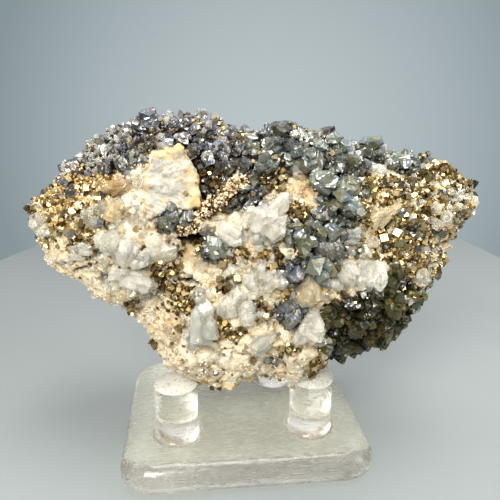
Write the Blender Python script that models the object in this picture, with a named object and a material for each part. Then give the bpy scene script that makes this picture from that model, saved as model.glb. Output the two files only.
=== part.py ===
"""Sphalerite specimen with quartz and pyrite, resting on a clear stand with three posts.

The origin is the centre of the stand base's underside. +X runs along the base's long
side, +Y runs to the back and +Z points up. The stone is laid out in its own frame: u runs
to the right, v runs up the face and depth runs into the stone from the rim plane.
"""
import math
import random

import bmesh
import bpy
from mathutils import Euler, Matrix, Vector, noise
from mathutils.bvhtree import BVHTree

MM = 0.001
GAP = 0.3 * MM
CLEARANCE = 1.15 * GAP
SHARP_ANGLE = math.radians(35)

# Stand: a slab of clear acrylic with three glued posts
BASE_LENGTH = 75 * MM
BASE_WIDTH = 63 * MM
BASE_THICKNESS = 9 * MM
BASE_CORNER_RADIUS = 10 * MM
BASE_EDGE_RADIUS = 3.2 * MM
POST_DIAMETER = 12.7 * MM
POST_TOP = 26 * MM
POST_FLARE = 1.8 * MM
POST_FLARE_HEIGHT = 2.6 * MM
POST_FLARE_BEND = (0.45, 0.35)
POST_TOP_CHAMFER = 0.3 * MM
POST_SIDES = 18
POST_PLACES = {
    "stand_post_left": (-21.2 * MM, -14.5 * MM),
    "stand_post_right": (19.4 * MM, -15.0 * MM),
    "stand_post_back": (12.8 * MM, 14.0 * MM),
}

# Stone: where its rim plane stands, and how far it leans back and turns
STONE_FOOT = (-1.8 * MM, -14.9 * MM, POST_TOP)
STONE_LEAN = math.radians(12)
STONE_TURN = math.radians(6.8)
STONE_MIDDLE = (0.3, 39.0)
FRONT_DEPTH = 15.0
BACK_DEPTH_LOW = 38.0
BACK_DEPTH_HIGH = 17.0
STONE_HEIGHT = 78.0
FRONT_SQUARENESS = 0.8
BACK_SQUARENESS = 0.64
RELIEF_FADE = 1.6
# Room left for the crusts inside the outline: little at the foot, most along the top and right
CRUST_ROOM_TOP = 2.3
CRUST_ROOM_FOOT = 0.3
CRUST_ROOM_UP = (0.5, 1.2)
CRUST_ROOM_RIGHT = (-1.3, 3.0)
SEAT_HEIGHT = 14 * MM

# The face is laid out as seen from this point in front of it (u, depth, v in mm)
SIGHT_POINT = (1.9, -147.0, 51.5)

# The stone's outline in the rim plane, clockwise from the left end (u, v in mm)
RIM = [
    (-62.9, 50.5), (-59.5, 53.8), (-52.7, 60.0), (-48.8, 62.4), (-43.8, 67.7),
    (-35.0, 74.4), (-29.1, 77.1), (-17.5, 77.0), (-11.7, 77.1), (-3.5, 73.7),
    (1.4, 72.1), (3.7, 71.6), (7.2, 73.6), (11.3, 75.4), (16.5, 75.4),
    (20.1, 73.2), (29.5, 71.1), (37.7, 68.0), (51.8, 66.2), (57.7, 65.1),
    (66.8, 59.5), (69.9, 56.0), (69.5, 53.1), (61.1, 44.1), (57.7, 33.9),
    (53.0, 26.0), (46.3, 14.3), (41.0, 11.2), (30.2, 8.5), (25.8, 3.5),
    (17.7, -1.0), (6.1, 0.4), (-5.1, -3.4), (-15.4, -1.5), (-23.3, 4.0),
    (-29.3, 15.6), (-34.7, 21.7), (-43.1, 23.9), (-50.2, 30.2), (-56.7, 31.9),
    (-60.2, 39.3), (-63.1, 42.9),
]

# Lumps and hollows of the front face: u, v, radius, height in mm
FRONT_RELIEF = [
    (-22, 58, 10, 2.0),
    (-34, 67, 9, 1.8),
    (-9, 68, 8, 1.2),
    (22, 62, 12, 2.2),
    (28, 52, 7, 1.5),
    (-34, 37, 9, 2.2),
    (-50, 50, 10, 1.2),
    (2, 27, 11, 1.6),
    (-11, 19, 7, 1.6),
    (33, 31, 8, 1.8),
    (44, 22, 9, 2.2),
    (30, 14, 8, 1.2),
    (56, 57, 9, 1.4),
    (8, 48, 8, 1.2),
    (10, 6, 9, 1.0),
    (-14, 8, 9, 1.2),
    (-46, 34, 5, -1.4),
    (-12.4, 57, 3.2, -4.2),
    (-12.0, 52, 3.0, -3.4),
    (-14, 42.5, 4.0, -2.6),
    (9, 6, 3.0, -2.2),
    (25, 25, 6, -1.4),
    (2, 38, 5, -1.0),
    (44, 41, 6, -1.2),
    (-26, 26, 5, -1.0),
]

# Lumps and hollows of the back: u, v, radius, height in mm
BACK_RELIEF = [
    (-40, 52, 14, 4.0),
    (30, 50, 16, 3.0),
    (0, 60, 14, -3.0),
    (46, 38, 10, -2.5),
    (-22, 24, 12, 3.0),
    (10, 40, 12, 2.0),
    (-8, 42, 9, -2.5),
    (24, 22, 10, 2.5),
]

ROCK_DETAIL = 6
ROCK_TRIANGLES = 1350
ROCK_NOISE = [(17.0, 1.9), (6.5, 0.95), (3.2, 0.4)]

# Upper left plate: outline as seen on the face (u, v in mm), thickness and how far it stands out
PLATE_OUTLINE = [
    (-19.2, 69.2), (-16.4, 65.6), (-14.0, 62.4), (-13.2, 58.0), (-12.9, 54.0),
    (-12.8, 51.0), (-16.4, 50.6), (-21.0, 50.6), (-24.2, 48.8), (-28.2, 46.8),
    (-28.8, 53.0), (-28.4, 60.6), (-26.0, 66.0), (-22.6, 67.6),
]
PLATE_THICKNESS = 7.0
PLATE_PROUD = 1.5

# Crust outlines on the face (u, v in mm); they run past the rim where a crust wraps over the top
RIDGE = [
    (-56, 59.8), (-50, 66), (-45, 72), (-38, 78), (-29, 82), (-12, 82), (-2, 78), (6, 77),
    (16, 81), (30, 77), (44, 73), (54, 69), (52.5, 64), (47.5, 61), (42, 62.6), (40.5, 65),
    (34.5, 63.2), (32.8, 61), (33.6, 54), (31.5, 49.6), (26, 49.6), (22.6, 54), (20.4, 57.4),
    (16, 60.8), (8, 59.4), (3, 60.4), (0, 59), (-4, 59), (-7, 55), (-11, 51.4), (-11.2, 62),
    (-14.6, 67.6), (-18, 71), (-24, 69.4), (-28.5, 66), (-31, 62.5), (-42, 61), (-50, 59),
]
LOWER_RIGHT = [
    (36, 26.5), (43, 24), (47, 30.5), (52, 29), (54, 26), (51, 17), (46, 12), (38, 8.5),
    (28, 6.5), (25, 10), (26.5, 20), (25.6, 24.4), (29, 25), (31.5, 20.6), (35, 21),
]
LEFT_SLOPE = [
    (-66, 53.5), (-55, 59.6), (-43, 61), (-30.5, 62), (-30, 55), (-30.2, 46), (-36, 42),
    (-42, 40), (-50, 36), (-58, 35), (-66, 44),
]
RIGHT_END = [
    (35, 60), (41, 60.6), (46, 58.6), (53, 62), (54, 69), (61, 68), (72, 60), (72, 53),
    (63, 43), (60, 34), (55.5, 29.6), (48.6, 33), (44.6, 36.4), (42.4, 41), (37.6, 45.5),
    (33.6, 47), (35, 52),
]

# The pale ridge of small pyrite crystals right of and below the plate (u, v in mm)
PYRITE_RIM = [
    (-0.6, 57.8), (-3.0, 57.0), (-5.8, 54.8), (-6.2, 52.4), (-8.4, 51.4), (-10.6, 49.2),
    (-13.2, 46.8), (-16.2, 45.2), (-19.6, 44.4),
]
RIM_GRAIN = 3.0

# Single sphalerite crystals that stand out: u, v, size in mm
RIDGE_CRYSTALS = [
    (-10.2, 64.6, 4.6), (-14.4, 71.6, 4.8), (-6.5, 68.6, 4.2), (-28.2, 76.0, 4.2),
    (-39.5, 66.5, 5.2), (-34.0, 68.5, 5.0), (-20.0, 74.5, 4.8), (-46.0, 63.6, 4.6),
    (17.5, 69.8, 6.0), (19.3, 64.2, 6.8), (8.4, 63.2, 5.4), (12.8, 63.8, 4.4),
    (27.9, 65.6, 6.8), (22.9, 58.0, 6.0), (28.2, 56.0, 6.8), (29.6, 52.4, 5.4),
    (36.5, 66.6, 5.2), (46.5, 64.2, 5.0), (2.4, 66.6, 5.0), (-0.6, 71.2, 4.6),
    (10.6, 73.4, 5.2), (16.0, 73.8, 5.4), (-7.4, 74.0, 4.6), (-12.6, 75.2, 4.6),
]
LOWER_RIGHT_CRYSTALS = [
    (48.3, 27.0, 4.4), (42.6, 21.6, 5.4), (36.6, 14.0, 4.6), (29.4, 11.0, 4.6), (29.0, 22.6, 4.6),
]
# Small groups of dark crystals away from the crusts: name, then u, v, size in mm
DARK_GROUPS = {
    "sphalerite_middle": [
        (20.4, 45.0, 4.8), (17.2, 43.2, 4.4), (18.6, 40.0, 4.6), (23.8, 44.8, 4.6),
        (21.6, 41.8, 4.4), (25.0, 41.2, 4.4), (22.8, 37.4, 6.0), (26.8, 38.0, 4.2),
    ],
    "sphalerite_under_plate": [(-22.6, 47.4, 3.6), (-19.8, 48.6, 3.8), (-16.8, 48.6, 3.4)],
    "sphalerite_hollow": [(-10.4, 38.8, 3.6), (-7.9, 40.2, 4.2), (-8.2, 37.6, 3.4)],
    "sphalerite_spotted": [(14.6, 34.8, 4.4), (13.0, 33.0, 3.0)],
    "sphalerite_lower": [(14.4, 22.8, 4.8), (12.2, 21.6, 3.2)],
}

# Quartz: group name, then one row a crystal of u, v, width, length in mm, the way that the
# crystal points on the face (degrees clockwise from up) and how far it lies over from the
# line of sight (degrees)
QUARTZ = {
    "quartz_left_tip": [(-57.0, 46.2, 6.4, 8.0, -20, 30)],
    "quartz_grey_slope": [
        (-43.7, 47.8, 5.0, 6.4, 20, 40), (-40.6, 50.6, 3.6, 5.0, -30, 55),
    ],
    "quartz_cream_slope": [(-36.4, 50.2, 5.6, 7.6, 10, 50)],
    "quartz_brown_band": [
        (-38.2, 56.4, 3.8, 7.0, -75, 78), (-34.6, 56.6, 4.0, 7.0, 80, 78),
    ],
    "quartz_pale_low": [
        (-47.4, 38.2, 4.6, 7.0, -70, 62), (-44.4, 38.8, 4.2, 6.4, 70, 60),
    ],
    "quartz_milky_left": [
        (-37.6, 40.4, 6.6, 9.0, -35, 45), (-33.0, 38.0, 6.6, 10.0, 15, 55),
        (-35.0, 33.4, 6.4, 9.0, -120, 50), (-31.0, 31.0, 6.4, 11.0, 110, 60),
        (-30.0, 35.4, 5.0, 7.6, 60, 45),
    ],
    "quartz_below_plate": [
        (-25.6, 39.6, 6.6, 9.0, -30, 35), (-22.4, 38.0, 5.6, 8.4, 60, 50),
    ],
    "quartz_centre": [
        (2.0, 29.6, 5.0, 7.4, -40, 45), (7.6, 30.4, 6.2, 8.4, 30, 40),
        (5.0, 33.6, 4.4, 6.6, 0, 60),
    ],
    "quartz_centre_low": [
        (-4.0, 22.6, 5.2, 8.4, -20, 50), (1.4, 21.0, 6.0, 9.0, 15, 40),
        (-1.2, 25.4, 4.2, 6.0, 5, 60),
    ],
    "quartz_tall_grey": [
        (-11.0, 19.8, 6.6, 15.0, 5, 78), (-13.4, 13.4, 5.4, 9.0, -150, 66),
        (-12.6, 24.6, 4.4, 7.4, -20, 55),
    ],
    "quartz_fan": [
        (9.0, 50.4, 5.4, 15.0, 40, 80), (5.4, 48.0, 5.8, 11.0, 10, 76),
        (9.6, 45.6, 5.4, 11.0, 70, 76), (4.6, 44.0, 5.6, 9.0, 170, 66),
    ],
    "quartz_fan_left": [
        (-4.8, 45.0, 5.4, 9.0, -60, 74), (-4.0, 41.8, 5.0, 8.0, -110, 72),
    ],
    "quartz_knob": [(22.2, 50.2, 4.6, 7.4, 130, 60)],
    "quartz_greyish": [(30.6, 43.4, 4.2, 7.0, -80, 72)],
    "quartz_cream_point": [
        (19.2, 28.4, 6.4, 10.0, 4, 62), (18.2, 25.4, 4.6, 6.0, -160, 50),
    ],
    "quartz_right_pair": [
        (31.2, 33.0, 6.6, 8.6, -30, 35), (38.2, 31.0, 7.0, 11.6, 8, 60),
        (34.9, 31.4, 5.0, 7.0, 10, 45), (26.8, 30.0, 3.8, 5.8, -70, 62),
    ],
    "quartz_round": [(37.4, 41.2, 4.2, 6.0, 20, 30)],
    "quartz_big_clear": [
        (20.6, 17.0, 6.6, 11.0, 160, 66), (17.4, 14.6, 5.0, 8.0, -140, 60),
        (23.4, 12.8, 4.6, 7.6, 120, 60),
    ],
    "quartz_slanted": [(6.4, 12.4, 4.6, 10.0, 55, 80)],
    "quartz_right_hexagon": [(38.0, 61.4, 4.6, 6.6, 80, 55)],
    "quartz_right_prism": [(41.2, 50.0, 4.6, 10.4, 57, 80)],
    "quartz_far_right": [(58.0, 49.2, 3.6, 5.6, 20, 50)],
    "quartz_low_right": [(51.6, 32.6, 4.2, 6.4, 30, 45)],
}
# Crusts: name, outline, how far it wraps behind the rim (mm), single crystals, and its look:
# seed, crystal spacing, smallest and largest crystal, sheet thickness, tip height (mm)
SPHALERITE_CRUSTS = [
    ("sphalerite_ridge", RIDGE, 7.0, RIDGE_CRYSTALS, (11, 30.0, 4.2, 6.0, 0.8, 2.2)),
    ("sphalerite_lower_right", LOWER_RIGHT, 4.0, LOWER_RIGHT_CRYSTALS,
     (14, 12.0, 4.0, 5.6, 0.8, 2.0)),
]
PYRITE_CRUSTS = [
    ("pyrite_left_slope", LEFT_SLOPE, 3.0, (21, 18.0, 2.6, 3.4, 0.6, 1.2)),
    ("pyrite_right_end", RIGHT_END, 4.0, (22, 12.0, 3.0, 4.2, 0.7, 1.4)),
]
CRUST_TRIES = 1500
CRYSTAL_APART = 0.92
CORNER_REACH = 0.6
SHEET_SUNK = 0.9
FLAT_ANGLE = math.radians(0.6)
NEARLY_FLAT = math.radians(4)
HAIR = 0.004 * MM
SORT_WAY = Vector((1.0, 1.37, 1.91))

# Quartz crystals, as shares of a crystal's width: its point, its foot and how far it is sunk
QUARTZ_POINT = 0.42
QUARTZ_FOOT = 0.92
QUARTZ_TIP_SHIFT = 0.1
QUARTZ_SUNK = 0.16
QUARTZ_RISE = 0.22
QUARTZ_TURN = math.radians(37)
ROOT_SHARE = 0.7
ROOT_EXTRA = 1.2

# How far dark single crystals and the pale ridge's grains stand out, as a share of their size
DARK_GROUP_RISE = 0.28
RIM_RISE = 0.35
RIM_STEP = 0.62
DARK_GROUP_SEED = 41
RIM_SEED = 23
TIP_LOWEST = 0.25
TIP_LEAN = 0.5
SINGLE_RISE = 0.16
CRYSTAL_RISE = 0.06
NEIGHBOUR_ROOM = 0.4
TETRAHEDRON_SIZE = 0.42
TETRAHEDRON_CUTS = (0.16, 0.28)
TETRAHEDRON_CHANCE = 0.6
TWIN_HEIGHT = 0.62
CUBE_SIZE = 0.7

MATERIALS = {
    "clear_acrylic": ((0.86, 0.88, 0.86), 0.08, 0.0),
    "cream_rock": ((0.80, 0.68, 0.50), 0.85, 0.0),
    "white_quartz_vein": ((0.76, 0.73, 0.66), 0.60, 0.0),
    "sphalerite": ((0.05, 0.06, 0.07), 0.16, 0.0),
    "pyrite": ((0.66, 0.52, 0.26), 0.28, 1.0),
    "milky_quartz": ((0.78, 0.79, 0.72), 0.20, 0.0),
}


def clear_scene():
    for thing in list(bpy.data.objects):
        bpy.data.objects.remove(thing, do_unlink=True)


def make_materials():
    made = {}
    for name, (colour, roughness, metallic) in MATERIALS.items():
        material = bpy.data.materials.new(name)
        material.use_nodes = True
        shader = material.node_tree.nodes["Principled BSDF"]
        shader.inputs["Base Color"].default_value = (*colour, 1.0)
        shader.inputs["Roughness"].default_value = roughness
        shader.inputs["Metallic"].default_value = metallic
        made[name] = material
    return made


def add_object(name, mesh, parent=None, material=None):
    thing = bpy.data.objects.new(name, mesh)
    bpy.context.collection.objects.link(thing)
    thing.parent = parent
    if material is not None:
        mesh.materials.clear()
        mesh.materials.append(material)
    return thing


def mesh_from(bm, name):
    mesh = bpy.data.meshes.new(name)
    bm.to_mesh(mesh)
    bm.free()
    return mesh


def add_guide(name, mesh, parent=None):
    guide = add_object(name, mesh, parent)
    guide.hide_render = True
    guide.display_type = "WIRE"
    return guide


def apply_modifiers(thing):
    bpy.context.view_layer.update()
    depsgraph = bpy.context.evaluated_depsgraph_get()
    mesh = bpy.data.meshes.new_from_object(thing.evaluated_get(depsgraph))
    thing.modifiers.clear()
    thing.data = mesh


def boolean(thing, other, operation, self_crossing=False):
    step = thing.modifiers.new(operation.title(), "BOOLEAN")
    step.operation = operation
    step.object = other
    step.solver = "EXACT"
    step.use_self = self_crossing


# Stand


def build_base(materials):
    bm = bmesh.new()
    bmesh.ops.create_cube(bm, size=1.0)
    bmesh.ops.scale(bm, vec=(BASE_LENGTH, BASE_WIDTH, BASE_THICKNESS), verts=bm.verts)
    bmesh.ops.translate(bm, vec=(0, 0, BASE_THICKNESS / 2), verts=bm.verts)
    upright = [e for e in bm.edges if abs(e.verts[0].co.z - e.verts[1].co.z) > BASE_THICKNESS / 2]
    bmesh.ops.bevel(bm, geom=upright, offset=BASE_CORNER_RADIUS, offset_type="OFFSET",
                    segments=5, profile=0.5, affect="EDGES", material=-1)
    level = [e for e in bm.edges if abs(e.verts[0].co.z - e.verts[1].co.z) < BASE_THICKNESS / 10]
    bmesh.ops.bevel(bm, geom=level, offset=BASE_EDGE_RADIUS, offset_type="OFFSET",
                    segments=3, profile=0.5, affect="EDGES", material=-1)
    mesh = mesh_from(bm, "stand_base")
    mesh.shade_smooth()
    mesh.set_sharp_from_angle(angle=SHARP_ANGLE)
    return add_object("stand_base", mesh, material=materials["clear_acrylic"])


def build_post(name, place, materials):
    radius = POST_DIAMETER / 2
    foot = BASE_THICKNESS + GAP
    profile = [
        (0.0, foot),
        (radius + POST_FLARE, foot),
        (radius + POST_FLARE * POST_FLARE_BEND[0], foot + POST_FLARE_HEIGHT * POST_FLARE_BEND[1]),
        (radius, foot + POST_FLARE_HEIGHT),
        (radius, POST_TOP - POST_TOP_CHAMFER),
        (radius - POST_TOP_CHAMFER, POST_TOP),
        (0.0, POST_TOP),
    ]
    bm = bmesh.new()
    points = [bm.verts.new((x, 0.0, z)) for x, z in profile]
    edges = [bm.edges.new(pair) for pair in zip(points, points[1:])]
    bmesh.ops.spin(bm, geom=points + edges, cent=(0, 0, 0), axis=(0, 0, 1),
                   angle=math.tau, steps=POST_SIDES, use_merge=True)
    bmesh.ops.remove_doubles(bm, verts=bm.verts, dist=0.00001)
    bmesh.ops.recalc_face_normals(bm, faces=bm.faces)
    mesh = mesh_from(bm, name)
    mesh.shade_smooth()
    mesh.set_sharp_from_angle(angle=SHARP_ANGLE)
    post = add_object(name, mesh, material=materials["clear_acrylic"])
    post.location = (place[0], place[1], 0.0)
    return post


def build_stand(materials):
    build_base(materials)
    for name, place in POST_PLACES.items():
        build_post(name, place, materials)


# The rock


def make_stone_frame():
    frame = bpy.data.objects.new("stone_frame", None)
    bpy.context.collection.objects.link(frame)
    frame.location = STONE_FOOT
    frame.rotation_euler = Euler((-STONE_LEAN, 0.0, -STONE_TURN))
    bpy.context.view_layer.update()
    return frame


def rim_radius(angle):
    """Distance in mm from the stone's middle to its rim, straight between the rim's points."""
    way = (math.cos(angle), math.sin(angle))
    best = 0.0
    for (u0, v0), (u1, v1) in zip(RIM, RIM[1:] + RIM[:1]):
        au, av = u0 - STONE_MIDDLE[0], v0 - STONE_MIDDLE[1]
        bu, bv = u1 - u0, v1 - v0
        cross = way[0] * bv - way[1] * bu
        if abs(cross) < 1e-9:
            continue
        reach = (au * bv - av * bu) / cross
        share = (au * way[1] - av * way[0]) / cross
        if reach > 0 and -1e-6 <= share <= 1 + 1e-6:
            best = max(best, reach)
    return best


def relief(table, u, v):
    total = 0.0
    for cu, cv, radius, height in table:
        total += height * math.exp(-((u - cu) ** 2 + (v - cv) ** 2) / (radius * radius))
    return total


def rock_point(way):
    """The rock's surface in mm for one direction: front towards the sight point, back away."""
    flat = math.hypot(way.x, way.z)
    angle = math.atan2(way.z, way.x)
    squareness = FRONT_SQUARENESS if way.y < 0 else BACK_SQUARENESS
    spread = flat ** squareness
    rise = abs(way.y) ** squareness
    upward = CRUST_ROOM_UP[0] + CRUST_ROOM_UP[1] * math.sin(angle)
    rightward = CRUST_ROOM_RIGHT[0] + CRUST_ROOM_RIGHT[1] * math.cos(angle)
    share = min(1.0, max(0.0, upward, rightward))
    room = CRUST_ROOM_FOOT + (CRUST_ROOM_TOP - CRUST_ROOM_FOOT) * share
    reach = (rim_radius(angle) - room) * spread
    u = STONE_MIDDLE[0] + reach * math.cos(angle)
    v = STONE_MIDDLE[1] + reach * math.sin(angle)
    if way.y < 0:
        depth = -FRONT_DEPTH * rise
        depth -= relief(FRONT_RELIEF, u, v) * min(1.0, rise * RELIEF_FADE)
        shrink = 1.0 + depth / -SIGHT_POINT[1]
        u = SIGHT_POINT[0] + (u - SIGHT_POINT[0]) * shrink
        v = SIGHT_POINT[2] + (v - SIGHT_POINT[2]) * shrink
        return Vector((u, depth, v))
    high = min(1.0, max(0.0, v / STONE_HEIGHT))
    depth = BACK_DEPTH_LOW + (BACK_DEPTH_HIGH - BACK_DEPTH_LOW) * high
    depth = depth * rise + relief(BACK_RELIEF, u, v) * min(1.0, rise * RELIEF_FADE)
    return Vector((u, depth, v))


def roughness_at(point):
    """Height in mm of the broken rock's own unevenness at a point given in mm."""
    total = 0.0
    for size, height in ROCK_NOISE:
        total += height * noise.noise(point / size + Vector((size, 3.1 * size, 0.7 * size)))
    return total


def build_rock_body():
    """The bare rock before the posts' seats are cut, in the stone's frame."""
    bm = bmesh.new()
    bmesh.ops.create_icosphere(bm, subdivisions=ROCK_DETAIL, radius=1.0)
    for vert in bm.verts:
        vert.co = rock_point(vert.co.normalized())
    bm.normal_update()
    moved = [vert.co + vert.normal * roughness_at(vert.co) for vert in bm.verts]
    for vert, place in zip(bm.verts, moved):
        vert.co = place * MM
    share = ROCK_TRIANGLES / len(bm.faces)
    return decimated(mesh_from(bm, "rock_body"), share)


def widened(shape, distance):
    """A copy of a closed shape with every face moved out by the distance."""
    bm = shape.copy()
    bm.normal_update()
    moved = [v.co + v.normal * distance * v.calc_shell_factor() for v in bm.verts]
    for vert, place in zip(bm.verts, moved):
        vert.co = place
    return bm


def inflated(mesh, distance):
    bm = bmesh.new()
    bm.from_mesh(mesh)
    wider = widened(bm, distance)
    bm.free()
    return mesh_from(wider, mesh.name + "_wider")


# Places on the stone


class Stone:
    """The rock's surface, for seating what grows on it. All values in mm, stone frame."""

    def __init__(self, mesh):
        bm = bmesh.new()
        bm.from_mesh(mesh)
        bmesh.ops.scale(bm, vec=(1 / MM,) * 3, verts=bm.verts)
        bm.normal_update()
        self.tree = BVHTree.FromBMesh(bm)
        self.bm = bm
        self.covered = set()
        self.eye = Vector(SIGHT_POINT)

    def seat(self, u, v):
        """Where the line of sight through (u, v) of the rim plane meets the rock."""
        way = (Vector((u, 0.0, v)) - self.eye).normalized()
        point, normal, _, _ = self.tree.ray_cast(self.eye, way)
        if point is None:
            point, normal, _, _ = self.tree.find_nearest(Vector((u, 0.0, v)))
        return point, normal

    def seen_at(self, point):
        """The (u, v) of the rim plane that a point is seen at."""
        share = -self.eye.y / (point.y - self.eye.y)
        seen = self.eye + (point - self.eye) * share
        return seen.x, seen.z


def inside(outline, u, v):
    found = False
    for (u0, v0), (u1, v1) in zip(outline, outline[1:] + outline[:1]):
        if (v0 > v) != (v1 > v) and u < u0 + (v - v0) / (v1 - v0) * (u1 - u0):
            found = not found
    return found


# Crystal shapes, about their own middle, size 1


def hull(points):
    """The closed shape around some points, each flat side one face."""
    bm = bmesh.new()
    for point in points:
        bm.verts.new(point)
    bmesh.ops.convex_hull(bm, input=bm.verts)
    merge_flat(bm)
    return bm


def merge_flat(bm, angle=FLAT_ANGLE):
    bmesh.ops.dissolve_limit(bm, angle_limit=angle, verts=bm.verts, edges=bm.edges,
                             use_dissolve_boundaries=False)


def cut_tetrahedron(cut):
    """A tetrahedron with its four corners cut off, the common sphalerite habit."""
    corners = [Vector(c) for c in ((1, 1, 1), (1, -1, -1), (-1, 1, -1), (-1, -1, 1))]
    points = []
    for a in corners:
        for b in corners:
            if a is not b:
                points.append((a + (b - a) * cut) * TETRAHEDRON_SIZE)
    return hull(points)


def twin_block():
    """A flattened twin: two triangles turned half a step to each other."""
    points = []
    for step in range(6):
        angle = math.radians(60 * step)
        level = TWIN_HEIGHT / 2 if step % 2 else -TWIN_HEIGHT / 2
        points.append((0.5 * math.cos(angle), 0.5 * math.sin(angle), level))
    return hull(points)


def cube():
    half = CUBE_SIZE / 2
    return hull([(x, y, z) for x in (-half, half) for y in (-half, half) for z in (-half, half)])


def quartz_crystal(width, length):
    """A six-sided prism along +Z with a six-faced point, its tip a little to one side."""
    bm = bmesh.new()
    point = width * QUARTZ_POINT
    bmesh.ops.create_cone(bm, segments=6, radius1=width / 2 * QUARTZ_FOOT, radius2=width / 2,
                          depth=length - point, cap_ends=True)
    top = max(bm.faces, key=lambda face: face.calc_center_median().z)
    tip = bmesh.ops.poke(bm, faces=[top])["verts"][0]
    tip.co += Vector((width * QUARTZ_TIP_SHIFT, 0.0, point))
    return bm


def placed(bm, matrix):
    bmesh.ops.transform(bm, matrix=matrix, verts=bm.verts)
    return bm


def random_turn(draw):
    return Euler([draw.uniform(0, math.tau) for _ in range(3)]).to_matrix().to_4x4()


def joined(shapes, name):
    """Many closed shapes in one mesh, in metres. They are fused by a union later."""
    whole = bmesh.new()
    for shape in shapes:
        bmesh.ops.scale(shape, vec=(MM,) * 3, verts=shape.verts)
        part = bpy.data.meshes.new("part")
        shape.to_mesh(part)
        shape.free()
        whole.from_mesh(part)
        bpy.data.meshes.remove(part)
    return mesh_from(whole, name)


def connected(faces):
    """Groups of faces that share edges, the largest last. An edge of four faces parts them."""
    found = set()
    groups = []
    for start in faces:
        if start in found:
            continue
        found.add(start)
        group = [start]
        for face in group:
            for edge in face.edges:
                for other in edge.link_faces if len(edge.link_faces) == 2 else ():
                    if other not in found:
                        found.add(other)
                        group.append(other)
        groups.append(group)
    groups.sort(key=len)
    return groups


def largest_piece(mesh, angle=FLAT_ANGLE):
    """Drops chips that a cut left loose, and closes up hair-thin faces."""
    bm = bmesh.new()
    bm.from_mesh(mesh)
    bmesh.ops.remove_doubles(bm, verts=bm.verts, dist=HAIR)
    merge_flat(bm, angle)
    bmesh.ops.dissolve_degenerate(bm, edges=bm.edges, dist=HAIR)
    loose = [face for group in connected(bm.faces[:])[:-1] for face in group]
    bmesh.ops.delete(bm, geom=loose, context="FACES")
    bmesh.ops.triangulate(bm, faces=bm.faces)
    bm.to_mesh(mesh)
    bm.free()


def surface_tree(mesh):
    corners = [vert.co for vert in mesh.vertices]
    return BVHTree.FromPolygons(corners, [face.vertices[:] for face in mesh.polygons])


def surfaces_cross(mesh, other):
    """Whether the surfaces of two meshes of the same frame cross anywhere."""
    return bool(surface_tree(mesh).overlap(surface_tree(other)))


def fuse(name, shapes, cutters, stone_frame, material, base=None):
    """One solid from overlapping shapes, cut back to clear the rock and its neighbours.

    A guide a little wider than the shapes joins the cutters, for what grows beside it later.
    """
    wider = [widened(shape, CLEARANCE / MM) for shape in shapes]
    mesh = joined(shapes, name)
    thing = add_object(name, base if base is not None else mesh, stone_frame)
    if base is not None:
        boolean(thing, add_guide(name + "_crystals", mesh, stone_frame), "UNION", True)
        apply_modifiers(thing)
    for cutter in cutters:
        if surfaces_cross(thing.data, cutter.data):
            boolean(thing, cutter, "DIFFERENCE", True)
            apply_modifiers(thing)
    largest_piece(thing.data, NEARLY_FLAT)
    thing.data.materials.clear()
    thing.data.materials.append(material)
    cutters.append(add_guide(name + "_wider", joined(wider, name + "_wider"), stone_frame))


# What grows on the rock


def seen_place(stone, middle):
    """Where on the face's layout a point of the rock lies: as seen, or square on behind the rim."""
    return stone.seen_at(middle) if middle.y < 0 else (middle.x, middle.z)


def keep_one_patch(bm):
    """Leaves the largest connected patch, with no two faces that meet only at a corner."""
    pinched = True
    while pinched:
        extra = [face for group in connected(bm.faces[:])[:-1] for face in group]
        bmesh.ops.delete(bm, geom=extra, context="FACES")
        pinched = [v for v in bm.verts if sum(e.is_boundary for e in v.link_edges) > 2]
        faces = [face for face in bm.faces if any(vert in pinched for vert in face.verts)]
        bmesh.ops.delete(bm, geom=faces, context="FACES")


def crust_patch(stone, outline, wrap):
    """The rock's faces inside an outline that nothing else grows on, as one open patch."""
    bm = stone.bm.copy()
    bm.faces.ensure_lookup_table()
    drop = []
    for face in bm.faces:
        middle = face.calc_center_median()
        free = face.index not in stone.covered and middle.y < wrap
        free = free and inside(outline, *seen_place(stone, middle))
        free = free and not (middle.y < 0 and face.normal.dot(stone.eye - middle) < 0)
        if not free:
            drop.append(face)
    bmesh.ops.delete(bm, geom=drop, context="FACES")
    keep_one_patch(bm)
    bm.normal_update()
    return bm


def cover(stone, patch):
    """Marks the rock's faces under and right beside a patch as taken."""
    places = {tuple(round(c, 4) for c in vert.co) for vert in patch.verts}
    for face in stone.bm.faces:
        if any(tuple(round(c, 4) for c in vert.co) in places for vert in face.verts):
            stone.covered.add(face.index)


def decimated(mesh, share):
    thing = bpy.data.objects.new("fewer", mesh)
    bpy.context.collection.objects.link(thing)
    thing.modifiers.new("Fewer faces", "DECIMATE").ratio = share
    apply_modifiers(thing)
    mesh = thing.data
    bpy.data.objects.remove(thing)
    return mesh


def by_place(item):
    """Sorts corners and faces by where they are, so that every run takes them in one order."""
    place = item.co if isinstance(item, bmesh.types.BMVert) else item.calc_center_median()
    return place.dot(SORT_WAY)


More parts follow.
